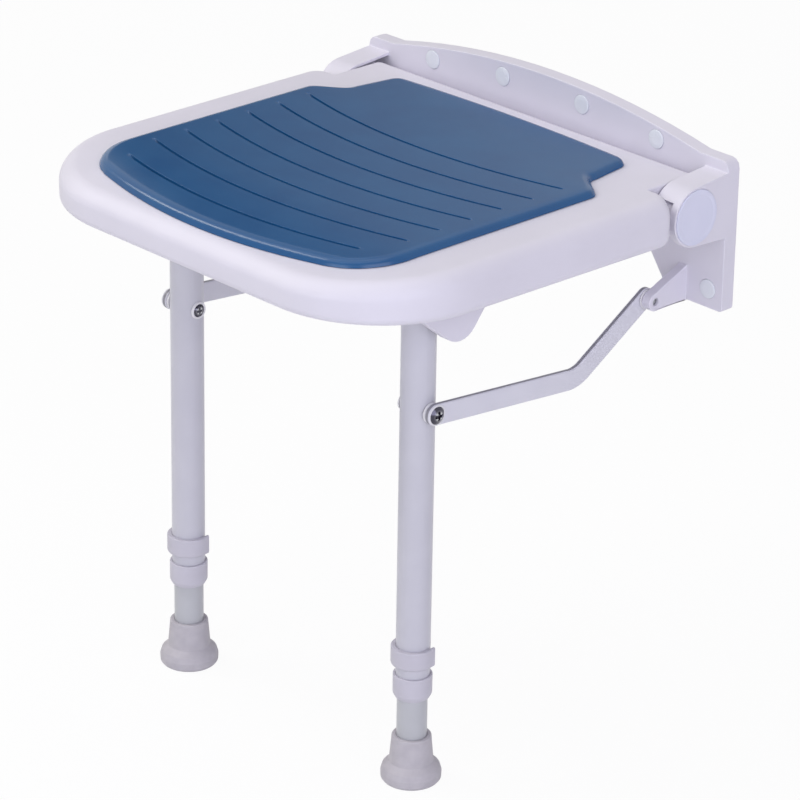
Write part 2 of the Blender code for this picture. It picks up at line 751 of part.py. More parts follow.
def lug_outline():
    """Side view of a lug: a round tip below the leg pivot, a long front flank and a steep rear one."""
    out, height = LEG_PIVOT
    root = FRAME_BOTTOM + FRAME_THICK / 2
    flare = FRAME_BOTTOM - FRAME_THICK
    return rounded((
        (out - LUG_FRONT_ROOT, root, 0),
        (out - LUG_FRONT_ROOT, flare, 0),
        (out - LUG_FRONT_KNEE[0], height - LUG_FRONT_KNEE[1], LUG_KNEE_R),
        (out + LUG_TIP_BACK, height - LUG_TIP_DROP, LUG_TIP_R),
        (out + LUG_REAR_KNEE[0], height - LUG_REAR_KNEE[1], LUG_KNEE_R),
        (out + LUG_REAR_ROOT, flare, 0),
        (out + LUG_REAR_ROOT, root, 0),
    ))


def make_underframe():
    plan = seat_plan(SEAT_WALL + GAP, TONGUE_WALL + GAP, SEAT_WALL + GAP)
    frame = prism("seat_underframe", plan, "z", FRAME_BOTTOM, FRAME_TOP, WHITE_PLASTIC)
    lug = lug_outline()
    joined = []
    cuts = []
    knuckle_in, knuckle_out = knuckle_span()
    for _, side in SIDES:
        outer = LEG_X + LUG_OFFSET
        inner = LEG_X - LUG_OFFSET
        joined.append(prism("lug", lug, "x", *between(side, outer, outer + LUG_THICK)))
        joined.append(prism("lug", lug, "x", *between(side, inner - LUG_THICK, inner)))
        hole_end = outer + LUG_THICK - LEG_PIN_SKIN
        hole = rod("lug_hole", LEG_PIN_R + GAP, inner - 2 * LUG_THICK, hole_end, COARSE)
        cuts.append(put(hole, (0, *LEG_PIVOT), side))
        knuckle_r = EAR_R - HOOD_THICK
        clear = rod("knuckle_clear", knuckle_r, knuckle_in - SWING_GAP, knuckle_out, FINE)
        cuts.append(put(clear, (0, *HINGE), side))
    for x, y in post_places():
        hole = rod("screw_hole", SCREW_R + GAP, SEAT_BOTTOM, 0, COARSE)
        cuts.append(put(hole, (x, y, 0)))
    combine(frame, joined, "UNION")
    combine(frame, cuts, "DIFFERENCE")
    return frame


def make_frame_screws():
    """Pan-head screws that hold the underframe to the shell's posts."""
    screws = []
    head_top = FRAME_BOTTOM - GAP
    head_foot = head_top - SCREW_CAP_THICK
    for number, (x, y) in enumerate(post_places(), 1):
        screw = turned(f"frame_screw_{number}", (
            (0, head_foot),
            (SCREW_CAP_R * 0.7, head_foot),
            (SCREW_CAP_R, head_foot + SCREW_CAP_THICK / 2),
            (SCREW_CAP_R, head_top),
            (SCREW_R, head_top),
            (SCREW_R, FRAME_BOTTOM + SCREW_LENGTH),
            (0, FRAME_BOTTOM + SCREW_LENGTH),
        ), COARSE, STEEL)
        screws.append(put(screw, (x, y, 0)))
    return screws


def pad_rows():
    """Rows of the pad from rear to front: middle Y, half-width, bow and groove depth of each."""
    rows = []

    def row(edge_y, half, bow):
        rows.append((edge_y - bow * (half / PAD_HALF) ** 2, half, bow, 0.0))

    inset = PAD_EDGE_ROUND
    rear_half = PAD_TONGUE_HALF - inset
    rear_r = PAD_REAR_CORNER - inset
    rear_edge = PAD_REAR_BOW * (rear_half / PAD_HALF) ** 2 - PAD_REAR - inset
    for angle in (75, 45, 0):
        turn = math.radians(angle)
        half = rear_half - rear_r + rear_r * math.cos(turn)
        row(rear_edge - rear_r + rear_r * math.sin(turn), half, PAD_REAR_BOW)
    step_half = PAD_HALF - PAD_TONGUE_HALF
    for share in (0.0, 0.25, 0.5, 0.75, 1.0):
        spread = (1 - math.cos(math.pi * share)) / 2
        edge_y = -PAD_STEP_START - PAD_STEP_LENGTH * share
        bow = PAD_REAR_BOW + (PAD_BOW - PAD_REAR_BOW) * spread / 2
        row(edge_y, rear_half + step_half * spread, bow)
    half = PAD_HALF - inset
    front_r = PAD_FRONT_CORNER - inset
    last = math.radians(75)
    last_half = half - front_r + front_r * math.cos(last)
    corner_y = inset - PAD_FRONT + PAD_BOW * (last_half / PAD_HALF) ** 2 + front_r * math.sin(last)
    for angle in (15, 40, 60, 75):
        turn = math.radians(angle)
        row(corner_y - front_r * math.sin(turn), half - front_r + front_r * math.cos(turn), PAD_BOW)

    def side_half(middle_y):
        reach = half
        for _ in range(12):
            past = corner_y - middle_y - PAD_BOW * (reach / PAD_HALF) ** 2
            past = min(max(0.0, past), front_r)
            reach = half - front_r + math.sqrt(front_r ** 2 - past ** 2)
        return reach

    for number in range(GROOVE_COUNT):
        middle_y = -GROOVE_FIRST - GROOVE_PITCH * number
        for offset, depth in ((1, 0.0), (0, GROOVE_DEPTH), (-1, 0.0)):
            place = middle_y + offset * GROOVE_HALF_WIDTH
            rows.append((place, side_half(place), PAD_BOW, depth))
    return sorted(rows, reverse=True)


def make_pad():
    """A moulded pad: crowned and grooved top, rounded edge, sides drawn in, bottom on the shell."""
    shares = (-1, -0.88, -0.82, -0.64, -0.44, -0.22, 0, 0.22, 0.44, 0.64, 0.82, 0.88, 1)
    groove_end = 0.85
    shape = bmesh.new()
    rows = pad_rows()
    top = []
    plan = []
    for y, half, bow, groove in rows:
        line = []
        for share in shares:
            x = half * share
            here = y + bow * (x / PAD_HALF) ** 2
            crown = PAD_CROWN * (1 - share ** 2)
            depth = groove if abs(share) < groove_end else 0.0
            line.append(Vector((x, here, PAD_THICK + crown - depth)))
        plan.append(line)

    def lifted(point, height):
        return (point.x, point.y, SEAT_TOP + GAP - waterfall(point.y) + height)

    top = [[shape.verts.new(lifted(p, p.z)) for p in line] for line in plan]
    floor = [[shape.verts.new(lifted(p, 0.0)) for p in line] for line in plan]
    for sheet in (top, floor):
        for near, far in zip(sheet, sheet[1:]):
            for i in range(len(shares) - 1):
                shape.faces.new((near[i], near[i + 1], far[i + 1], far[i]))

    def border(sheet):
        left = [line[0] for line in sheet[-2:0:-1]]
        right = [line[-1] for line in sheet[1:-1]]
        return [*sheet[0], *right, *sheet[-1][::-1], *left]

    edge = border(plan)
    count = len(edge)
    outward = []
    for i in range(count):
        along = edge[(i + 1) % count].xy - edge[i - 1].xy
        outward.append(Vector((-along.y, along.x, 0)).normalized())
    lean = PAD_EDGE_ROUND * math.sin(math.pi / 4)
    lower = PAD_EDGE_ROUND - PAD_EDGE_ROUND * math.cos(math.pi / 4)
    bands = ((lean, PAD_THICK - lower), (PAD_EDGE_ROUND, PAD_THICK - PAD_EDGE_ROUND),
             (PAD_EDGE_ROUND - PAD_DRAW_IN, 0.0))
    loops = [border(top)]
    for out, height in bands:
        moved = [point + away * out for point, away in zip(edge, outward)]
        loops.append([shape.verts.new(lifted(point, height)) for point in moved])
    loops.append(border(floor))
    for upper, under in zip(loops, loops[1:]):
        for i in range(count):
            shape.faces.new((upper[i - 1], upper[i], under[i], under[i - 1]))
    return add("seat_pad", shape, BLUE_FOAM)


# Link arms
def link_outline():
    """Side view of a link: a flat bar with round ends, bent once, drawn from its middle line."""
    start = Vector(LINK_WALL_PIVOT)
    bend = Vector((-LINK_BEND_OUT, -LINK_BEND_DROP))
    end = Vector(LINK_LEG_PIVOT)
    half = LINK_WIDTH / 2
    into = (bend - start).normalized()
    out = (end - bend).normalized()
    middle = rounded(((*start, 0), (*bend, LINK_BEND_R), (*end, 0)))[1:-1]
    path = [start, *(Vector(point) for point in middle), end]
    ways = [into]
    for i in range(len(middle)):
        share = i / (len(middle) - 1)
        ways.append((into * (1 - share) + out * share).normalized())
    ways.append(out)
    left = [point + Vector((-way.y, way.x)) * half for point, way in zip(path, ways)]
    right = [point - Vector((-way.y, way.x)) * half for point, way in zip(path, ways)]
    end_bearing = math.atan2(out.y, out.x)
    start_bearing = math.atan2(-into.y, -into.x)
    quarter = math.pi / 2
    far_cap = arc(end, half, end_bearing + quarter, end_bearing - quarter)[1:-1]
    near_cap = arc(start, half, start_bearing + quarter, start_bearing - quarter)[1:-1]
    return [tuple(p) for p in left] + far_cap + [tuple(p) for p in reversed(right)] + near_cap


def make_link(label, side):
    link = prism(f"link_arm_{label}", link_outline(), "x", *between(side, LINK_IN, LINK_OUT),
                 PAINTED_TUBE)
    cuts = []
    for pivot in (LINK_WALL_PIVOT, LINK_LEG_PIVOT):
        hole = rod("link_hole", LINK_BOLT_R + GAP, LINK_IN - LINK_THICK, LINK_OUT + LINK_THICK, COARSE)
        cuts.append(put(hole, (0, *pivot), side))
    return combine(link, cuts, "DIFFERENCE")


def make_link_wall_pivot(label, side):
    """The rivet through link and gusset, and the washer between them."""
    head_out = LINK_IN - GAP
    rivet = turned(f"link_wall_pin_{label}", (
        (0, head_out - RIVET_HEAD),
        (RIVET_HEAD_R * 0.75, head_out - RIVET_HEAD),
        (RIVET_HEAD_R, head_out - RIVET_HEAD / 2),
        (RIVET_HEAD_R, head_out),
        (LINK_BOLT_R, head_out),
        (LINK_BOLT_R, GUSSET_OUT - RIVET_RECESS),
        (0, GUSSET_OUT - RIVET_RECESS),
    ), COARSE, STEEL)
    put(rivet, (0, *LINK_WALL_PIVOT), side)
    washer = sleeve(f"link_wall_washer_{label}", LINK_BOLT_R + GAP, LINK_WASHER_R, WALL_WASHER_IN,
                    WALL_WASHER_IN + WALL_WASHER_THICK, COARSE, NYLON)
    put(washer, (0, *LINK_WALL_PIVOT), side)


# Legs
def make_leg_tube(label, side):
    axis = (side * LEG_X, -LEG_OUT, 0)
    top = LEG_PIVOT[1] + TUBE_ABOVE_PIVOT
    tube = sleeve(f"leg_tube_{label}", TUBE_INNER_R, TUBE_R, FLOOR + TUBE_FOOT, top, FINE, PAINTED_TUBE)
    put(tube, axis)
    pin_hole = rod("pin_hole", LEG_PIN_R + GAP, LEG_X - 2 * TUBE_R, LEG_X + 2 * TUBE_R, COARSE)
    bolt_hole = rod("bolt_hole", LINK_BOLT_R + GAP, LEG_X - 2 * TUBE_R, LEG_X + 2 * TUBE_R, COARSE)
    lock_hole = rod("lock_hole", LOCK_PIN_R + GAP, 0, 2 * TUBE_R, COARSE)
    lock_hole.rotation_euler = (math.pi / 2, 0, 0)
    cuts = [
        put(pin_hole, (0, *LEG_PIVOT), side),
        put(bolt_hole, (0, *LINK_LEG_PIVOT), side),
        put(lock_hole, (side * LEG_X, -LEG_OUT, FLOOR + CLIP_FOOT + CLIP_HEIGHT / 2)),
    ]
    return combine(tube, cuts, "DIFFERENCE")


def make_leg_top(label, side):
    """The plug that closes the tube round the leg pin, the pin, and a spacer on each side."""
    top = LEG_PIVOT[1] + TUBE_ABOVE_PIVOT + GAP
    plug = turned(f"leg_plug_{label}", (
        (0, top - PLUG_STEM),
        (TUBE_INNER_R - GAP, top - PLUG_STEM),
        (TUBE_INNER_R - GAP, top),
        (TUBE_R, top),
        (TUBE_R, top + PLUG_CAP / 2),
        (TUBE_R - PLUG_CAP / 2, top + PLUG_CAP),
        (0, top + PLUG_CAP),
    ), FINE, NYLON)
    put(plug, (side * LEG_X, -LEG_OUT, 0))
    hole = rod("pin_hole", LEG_PIN_R + GAP, LEG_X - 2 * TUBE_R, LEG_X + 2 * TUBE_R, COARSE)
    combine(plug, [put(hole, (0, *LEG_PIVOT), side)], "DIFFERENCE")
    pieces = [plug]
    starts = (("inner", LEG_X - TUBE_R - GAP - SPACER_LENGTH), ("outer", LEG_X + TUBE_R + GAP))
    for place, low in starts:
        spacer = sleeve(f"leg_spacer_{place}_{label}", LEG_PIN_R + GAP, SPACER_R, low,
                        low + SPACER_LENGTH, COARSE, NYLON)
        pieces.append(put(spacer, (0, *LEG_PIVOT), side))
    return pieces


def make_leg_pin(label, side):
    """The headed pin from the inner lug through the leg into the outer lug."""
    head_out = LEG_X - LUG_OFFSET - LUG_THICK - GAP
    tip = LEG_X + LUG_OFFSET + LUG_THICK - LEG_PIN_SKIN - GAP
    pin = turned(f"leg_pivot_pin_{label}", (
        (0, head_out - LEG_PIN_HEAD),
        (LEG_PIN_HEAD_R * 0.8, head_out - LEG_PIN_HEAD),
        (LEG_PIN_HEAD_R, head_out - LEG_PIN_HEAD / 2),
        (LEG_PIN_HEAD_R, head_out),
        (LEG_PIN_R, head_out),
        (LEG_PIN_R, tip),
        (0, tip),
    ), COARSE, STEEL)
    return put(pin, (0, *LEG_PIVOT), side)


def make_link_bolt(label, side):
    """The bolt through link and leg, its dome nut inside, and the washer under the link."""
    nut_out = LEG_X - TUBE_R - GAP
    shank_end = nut_out - NUT_LENGTH + NUT_SKIN + GAP
    head_in = LINK_OUT + GAP
    bolt = turned(f"link_bolt_{label}", (
        (0, shank_end),
        (LINK_BOLT_R, shank_end),
        (LINK_BOLT_R, head_in),
        (BOLT_HEAD_R, head_in),
        (BOLT_HEAD_R, head_in + BOLT_HEAD * 0.4),
        (BOLT_HEAD_R * 0.75, head_in + BOLT_HEAD * 0.85),
        (0, head_in + BOLT_HEAD),
    ), COARSE, CHROME)
    nut_in = nut_out - NUT_LENGTH
    bore_r = LINK_BOLT_R + GAP
    nut = turned(f"link_nut_{label}", (
        (0, nut_in),
        (NUT_R * 0.6, nut_in + NUT_LENGTH * 0.1),
        (NUT_R, nut_in + NUT_LENGTH * 0.5),
        (NUT_R, nut_out),
        (bore_r, nut_out),
        (bore_r, nut_in + NUT_SKIN),
        (0, nut_in + NUT_SKIN),
    ), COARSE, CHROME)
    washer = sleeve(f"link_leg_washer_{label}", LINK_BOLT_R + GAP, LINK_WASHER_R, LEG_WASHER_IN,
                    LEG_WASHER_IN + LEG_WASHER_THICK, COARSE, NYLON)
    return [put(piece, (0, *LINK_LEG_PIVOT), side) for piece in (bolt, nut, washer)]


def make_collar(label, side):
    """The bush on the tube's lower end, whose lip guides the inner leg."""
    outer = TUBE_R + GAP + COLLAR_WALL
    low = FLOOR + COLLAR_FOOT
    high = low + COLLAR_HEIGHT
    collar = turned(f"leg_collar_{label}", (
        (INNER_R + GAP, low),
        (outer - COLLAR_EDGE, low),
        (outer, low + COLLAR_EDGE),
        (outer, high - COLLAR_EDGE),
        (outer - COLLAR_EDGE, high),
        (TUBE_R + GAP, high),
        (TUBE_R + GAP, low + COLLAR_LIP),
        (INNER_R + GAP, low + COLLAR_LIP),
    ), FINE, WHITE_PLASTIC)
    return put(collar, (side * LEG_X, -LEG_OUT, 0))


def make_clip(label, side):
    """A U-shaped clip that snaps round the tube from the front, with its locking pin."""
    inner = TUBE_R + GAP
    outer = inner + CLIP_WALL
    arm_out = inner + CLIP_ARM_END
    middle = (0, 0)
    outline = [
        (-arm_out, CLIP_ARM),
        *arc(middle, outer, math.pi, math.tau),
        (arm_out, CLIP_ARM),
        (inner, CLIP_ARM),
        *arc(middle, inner, math.tau, math.pi),
        (-inner, CLIP_ARM),
    ]
    low = FLOOR + CLIP_FOOT
    clip = prism(f"lock_clip_{label}", outline, "z", low, low + CLIP_HEIGHT, WHITE_PLASTIC)
    put(clip, (side * LEG_X, -LEG_OUT, 0))
    pin = rod("lock_pin", LOCK_PIN_R, INNER_R + GAP, inner + CLIP_WALL / 2, COARSE)
    pin.rotation_euler = (math.pi / 2, 0, 0)
    put(pin, (side * LEG_X, -LEG_OUT, low + CLIP_HEIGHT / 2))
    return combine(clip, [pin], "UNION")


def make_inner_leg(label, side):
    """The sliding leg with its row of lock holes, and the guide plug in its upper end."""
    axis = (side * LEG_X, -LEG_OUT, 0)
    low = FLOOR + INNER_FOOT
    high = low + INNER_LENGTH
    tube = sleeve(f"leg_inner_tube_{label}", INNER_BORE_R, INNER_R, low, high, FINE, PAINTED_TUBE)
    put(tube, axis)
    first = FLOOR + CLIP_FOOT + CLIP_HEIGHT / 2
    cuts = []
    for number in range(LOCK_HOLES):
        hole = rod("lock_hole", LOCK_PIN_R + GAP, 0, 2 * TUBE_R, COARSE)
        hole.rotation_euler = (math.pi / 2, 0, 0)
        cuts.append(put(hole, (axis[0], axis[1], first + LOCK_PITCH * number)))
    combine(tube, cuts, "DIFFERENCE")
    plug_low = high + GAP
    plug = turned(f"inner_tube_plug_{label}", (
        (0, plug_low - GUIDE_STEM),
        (INNER_BORE_R - GAP, plug_low - GUIDE_STEM),
        (INNER_BORE_R - GAP, plug_low),
        (INNER_R, plug_low),
        (INNER_R, plug_low + PLUG_CAP),
        (0, plug_low + PLUG_CAP),
    ), FINE, NYLON)
    return [tube, put(plug, axis)]


def make_foot(label, side):
    """A conical rubber foot on a round flange, and the steel washer under the tube in it."""
    bead = 0.8 * MM
    bore = INNER_R + GAP
    rim = max(FOOT_RIM_R, bore + 2 * bead)
    root = rim + 2 * bead
    foot = turned(f"rubber_foot_{label}", (
        (0, 0),
        (FOOT_R * 0.91, 0),
        (FOOT_R * 0.985, FOOT_FLANGE * 0.13),
        (FOOT_R, FOOT_FLANGE * 0.33),
        (FOOT_R * 0.98, FOOT_FLANGE * 0.52),
        (FOOT_R * 0.91, FOOT_FLANGE * 0.7),
        (FOOT_R * 0.81, FOOT_FLANGE * 0.86),
        (root, FOOT_FLANGE),
        (rim, FOOT_HEIGHT - bead),
        (rim - bead, FOOT_HEIGHT),
        (bore, FOOT_HEIGHT),
        (bore, FOOT_SOLE),
        (0, FOOT_SOLE),
    ), FINE, PALE_RUBBER)
    washer = rod(f"foot_washer_{label}", bore - GAP, FOOT_SOLE + GAP,
                 FOOT_SOLE + GAP + FOOT_WASHER_THICK, COARSE, STEEL)
    place = (side * LEG_X, -LEG_OUT, FLOOR)
    return [put(piece, place) for piece in (foot, washer)]


# Joint axes, as empties that carry the pieces which move about them
def joint(name, place, pieces, parent=None):
    """An empty on a joint's axis, with the pieces that it moves as its children."""
    axis = bpy.data.objects.new(name, None)
    axis.empty_display_size = LUG_TIP_R
    bpy.context.scene.collection.objects.link(axis)
    spot = Vector(place)
    if parent:
        axis.parent = parent
        axis.location = spot - parent.matrix_world.translation
    else:
        axis.location = spot
    bpy.context.view_layer.update()
    for piece in pieces:
        piece.parent = axis
        piece.matrix_parent_inverse = Matrix.Translation(-spot)
    return axis


make_bracket()
make_screw_caps()
seat_pieces = [make_shell(), make_underframe(), make_pad(), *make_frame_screws()]
for label, side in SIDES:
    seat_pieces.append(make_hinge(label, side))
    seat_pieces.append(make_leg_pin(label, side))
    make_link_wall_pivot(label, side)
seat_axis = joint("seat_hinge_axis", (0, *HINGE), seat_pieces)
for label, side in SIDES:
    joint(f"link_axis_{label}", (side * LINK_IN, *LINK_WALL_PIVOT), [make_link(label, side)])
    leg_pieces = [make_leg_tube(label, side), make_collar(label, side)]
    leg_pieces += make_leg_top(label, side) + make_link_bolt(label, side)
    leg_place = (side * LEG_X, *LEG_PIVOT)
    leg_axis = joint(f"leg_axis_{label}", leg_place, leg_pieces, seat_axis)
    inner_pieces = make_inner_leg(label, side) + make_foot(label, side)
    joint(f"inner_leg_axis_{label}", leg_place, inner_pieces, leg_axis)
    joint(f"clip_axis_{label}", leg_place, [make_clip(label, side)], leg_axis)
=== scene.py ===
"""Looks of a wall-mounted folding shower seat: moulded bracket and board, blue pad, two drop legs."""

import math

import bmesh
import bpy
import numpy as np
from mathutils import Matrix, Quaternion, Vector


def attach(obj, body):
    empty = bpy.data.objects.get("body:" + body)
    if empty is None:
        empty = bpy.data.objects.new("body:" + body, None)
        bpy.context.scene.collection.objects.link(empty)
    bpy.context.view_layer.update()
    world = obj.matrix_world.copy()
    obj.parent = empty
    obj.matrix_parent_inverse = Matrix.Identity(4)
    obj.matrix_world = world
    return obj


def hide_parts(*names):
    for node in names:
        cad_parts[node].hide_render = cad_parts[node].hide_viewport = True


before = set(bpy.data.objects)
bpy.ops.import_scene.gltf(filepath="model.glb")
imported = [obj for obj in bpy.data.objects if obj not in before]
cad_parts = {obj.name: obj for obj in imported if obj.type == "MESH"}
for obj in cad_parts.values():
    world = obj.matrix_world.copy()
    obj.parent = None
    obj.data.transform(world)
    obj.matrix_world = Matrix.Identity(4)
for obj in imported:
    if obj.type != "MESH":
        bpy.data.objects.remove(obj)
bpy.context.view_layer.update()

# Camera: a long lens in front of the seat, to its right and above it.
# Its place comes from the seat's straight edges, so each edge falls where the photograph has it.
turn = math.radians(46.21)
tilt = math.radians(23.81)
roll = math.radians(0.95)
look_at = Vector((0.03141, -0.20391, -0.17643))
distance = 3.31966
focal_pixels = 3992.67
image_pixels = 800
forward = Vector((-math.sin(turn) * math.cos(tilt), math.cos(turn) * math.cos(tilt), -math.sin(tilt)))
level = Vector((math.cos(turn), math.sin(turn), 0.0))
upright = level.cross(forward)
right = level * math.cos(roll) + upright * math.sin(roll)
up = upright * math.cos(roll) - level * math.sin(roll)
lens = bpy.data.cameras.new("long_lens")
lens.lens = focal_pixels * lens.sensor_width / image_pixels
camera = bpy.data.objects.new("camera", lens)
bpy.context.scene.collection.objects.link(camera)
bearing = Matrix((right, up, -forward)).transposed().to_4x4()
camera.matrix_world = Matrix.Translation(look_at - forward * distance) @ bearing
bpy.context.scene.camera = camera


# Wall bracket: arched plate, hinge ears under thin hoods and two gussets, injection-moulded in one
# piece of white ABS. Six screws through the plate hold it to the wall. Every moulded edge is broken
# by a small radius, and the back is cored out in pockets.
mm = 0.001


def linear(code):
    """The linear colour of an sRGB hex code, as a shader takes it."""
    parts = np.array([int(code[i:i + 2], 16) for i in (1, 3, 5)]) / 255
    return (*np.where(parts <= 0.04045, parts / 12.92, ((parts + 0.055) / 1.055) ** 2.4), 1.0)


def add_node(tree, kind, settings=None, links=None):
    """Add a shader node, set its sockets and properties by name, and link its inputs."""
    node = tree.nodes.new("ShaderNode" + kind)
    for name, value in (settings or {}).items():
        if name in node.inputs:
            node.inputs[name].default_value = value
        else:
            setattr(node, name, value)
    for name, source in (links or {}).items():
        tree.links.new(source, node.inputs[name])
    return node


def finish(name, shade, light, cloud, grain, depth, gloss, constants):
    """A surface whose colour drifts between two hex shades in clouds of one size, with a grain of
    another size and depth (metres) and a roughness that drifts between two values."""
    material = bpy.data.materials.new(name)
    material.use_nodes = True
    tree = material.node_tree
    shader = tree.nodes["Principled BSDF"]
    for socket, value in constants.items():
        shader.inputs[socket].default_value = value
    place = add_node(tree, "TexCoord").outputs["Object"]
    drift = add_node(tree, "TexNoise", {"Scale": 1 / cloud, "Detail": 3.0}, {"Vector": place})
    blend = add_node(tree, "ValToRGB", links={"Fac": drift.outputs["Fac"]})
    for stop, position, code in zip(blend.color_ramp.elements, (0.3, 0.7), (shade, light)):
        stop.position = position
        stop.color = linear(code)
    fine = add_node(tree, "TexNoise", {"Scale": 1 / grain, "Detail": 2.0}, {"Vector": place})
    sheen = add_node(tree, "MapRange", {"To Min": gloss[0], "To Max": gloss[1]},
                     {"Value": drift.outputs["Fac"]})
    bump = add_node(tree, "Bump", {"Strength": 1.0, "Distance": depth}, {"Height": fine.outputs["Fac"]})
    tree.links.new(blend.outputs["Color"], shader.inputs["Base Color"])
    tree.links.new(sheen.outputs["Result"], shader.inputs["Roughness"])
    tree.links.new(bump.outputs["Normal"], shader.inputs["Normal"])
    return material


def soft_copy(node, radius):
    """A CAD node's mesh with its triangles merged into whole faces, and a modifier's rounded edges."""
    merge_within = 0.001 * mm
    flat_within = math.radians(0.5)
    edge_over = math.radians(40)
    shape = bmesh.new()
    shape.from_mesh(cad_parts[node].data)
    bmesh.ops.remove_doubles(shape, verts=shape.verts, dist=merge_within)
    bmesh.ops.dissolve_limit(shape, angle_limit=flat_within, verts=shape.verts, edges=shape.edges)
    mesh = bpy.data.meshes.new(node + "_moulded")
    shape.to_mesh(mesh)
    shape.free()
    item = bpy.data.objects.new(node + "_moulded", mesh)
    bpy.context.scene.collection.objects.link(item)
    mesh.shade_smooth()
    bevel = item.modifiers.new("broken_edges", "BEVEL")
    bevel.width = radius
    bevel.segments = 3
    bevel.limit_method = "ANGLE"
    bevel.angle_limit = edge_over
    bevel.use_clamp_overlap = False
    item.modifiers.new("even_shading", "WEIGHTED_NORMAL").keep_sharp = False
    return item


def dress(item, material, body, slot, *stands_for):
    """Give a piece its material and its body, and hide the CAD nodes that it stands for. The slot is not
    used.
    """
    item.data.materials.clear()
    item.data.materials.append(material)
    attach(item, body)
    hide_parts(*stands_for)
    return item


# Moulded ABS from a spark-eroded tool: satin, faintly cool white. The real grain of about 0.1 mm
# is drawn at 0.7 mm so that it shows.
white_abs = finish(
    "moulded_white_abs", shade="#D8D5E0", light="#DCD9E4", cloud=60 * mm, grain=0.7 * mm,
    depth=0.012 * mm, gloss=(0.46, 0.54), constants={"IOR": 1.53})
bracket = soft_copy("wall_bracket", radius=0.8 * mm)
dress(bracket, white_abs, "wall_bracket", "white_plastic", "wall_bracket")


# Screw caps: six snap-in covers over the wall screws, moulded in a slightly bluer plastic.
# Each is a low dome with a rounded rim on a short stem in the screw's counterbore.
def rounded(corners, closed=False, arc=7):
    """A line through (a, b, radius) corners, with each corner turned into an arc of its radius:
    the arc's centre lies on the corner's bisector, and its points are evenly spaced in angle."""
    shortest_step = 1e-8
    corners = np.array(corners, float)
    line = corners[:, :2]
    radius = corners[:, 2]
    back = np.roll(line, 1, 0) - line
    ahead = np.roll(line, -1, 0) - line
    if not closed:
        back[0] = -ahead[0]
        ahead[-1] = -back[-1]
    back /= np.linalg.norm(back, axis=1)[:, None]
    ahead /= np.linalg.norm(ahead, axis=1)[:, None]
    half = np.arccos(np.clip((back * ahead).sum(1), -1, 1)) / 2
    bisector = back + ahead
    bisector /= np.maximum(np.linalg.norm(bisector, axis=1), shortest_step)[:, None]
    centre = line + bisector * (radius / np.sin(half))[:, None]
    spoke = line + back * (radius / np.tan(half))[:, None] - centre
    sweep = (np.pi - 2 * half) * -np.sign(back[:, 0] * ahead[:, 1] - back[:, 1] * ahead[:, 0])
    angle = sweep[:, None] * np.linspace(0, 1, arc)
    x = spoke[:, :1] * np.cos(angle) - spoke[:, 1:] * np.sin(angle)
    y = spoke[:, :1] * np.sin(angle) + spoke[:, 1:] * np.cos(angle)
    points = (centre[:, None] + np.stack((x, y), -1)).reshape(-1, 2)
    step = np.linalg.norm(points - np.roll(points, 1, 0), axis=1)
    step[0] = step[0] if closed else 1.0
    return points[step > shortest_step]


def grid_faces(rows, columns):
    """Quads between neighbouring points of a grid whose last column joins its first."""
    row, column = np.meshgrid(np.arange(rows - 1), np.arange(columns), indexing="ij")
    beside = (column + 1) % columns
    here = row * columns
    ahead = here + columns
    quads = np.stack((here + column, here + beside, ahead + beside, ahead + column), -1)
    return quads.reshape(-1, 4).tolist()


def surface(name, points, faces, sharp=40):
    """A mesh object through points, with doubles merged and faces outwards. Edges whose faces meet at
    more than the sharp angle, in degrees, are shaded as edges."""
    merge_within = 0.0001 * mm
    mesh = bpy.data.meshes.new(name)
    mesh.from_pydata(np.reshape(points, (-1, 3)).tolist(), [], faces)
    shape = bmesh.new()
    shape.from_mesh(mesh)
    bmesh.ops.remove_doubles(shape, verts=shape.verts, dist=merge_within)
    bmesh.ops.recalc_face_normals(shape, faces=shape.faces)
    shape.to_mesh(mesh)
    shape.free()
    mesh.shade_smooth()
    mesh.set_sharp_from_angle(angle=math.radians(sharp))
    item = bpy.data.objects.new(name, mesh)
    bpy.context.scene.collection.objects.link(item)
    return item


def turned(name, profile, centre, along, segments=56, sink=None):
    """A (radius, height) line spun about an axis: each point goes round the axis at its radius.
    sink holds a function that gives how far the end is pressed in at two distances across the axis,
    and how far below the end it presses."""
    along = np.array(along, float)
    across = np.array((0.0, 0.0, 1.0)) if abs(along[2]) < 0.5 else np.array((1.0, 0.0, 0.0))
    beside = np.cross(along, across)
    radius = profile[:, :1]
    height = np.repeat(profile[:, 1:], segments, 1)
    angle = np.arange(segments) * math.tau / segments
    p = radius * np.cos(angle)
    q = radius * np.sin(angle)
    if sink:
        dip, dip_reach = sink
        near_end = height > profile[:, 1].max() - dip_reach
        height = height - np.where(near_end, dip(p, q), 0.0)
    points = np.array(centre) + p[..., None] * across + q[..., None] * beside + height[..., None] * along
    return surface(name, points, grid_faces(len(profile), segments))


plate_thick = 14 * mm
cap_radius = 8.2 * mm
cap_flat = 4.4 * mm
cap_rim = 0.7 * mm
cap_dome = 1.2 * mm
cap_sunk = 0.9 * mm
stem_radius = 5.9 * mm
stem_depth = 5.4 * mm
# X and Z of each cap in millimetres: four along the arch, two at the plate's lower corners.
cap_places = ((-132.8, 36.5), (-46.9, 43.6), (46.9, 43.6), (132.8, 36.5), (-197.2, -77), (197.2, -77))
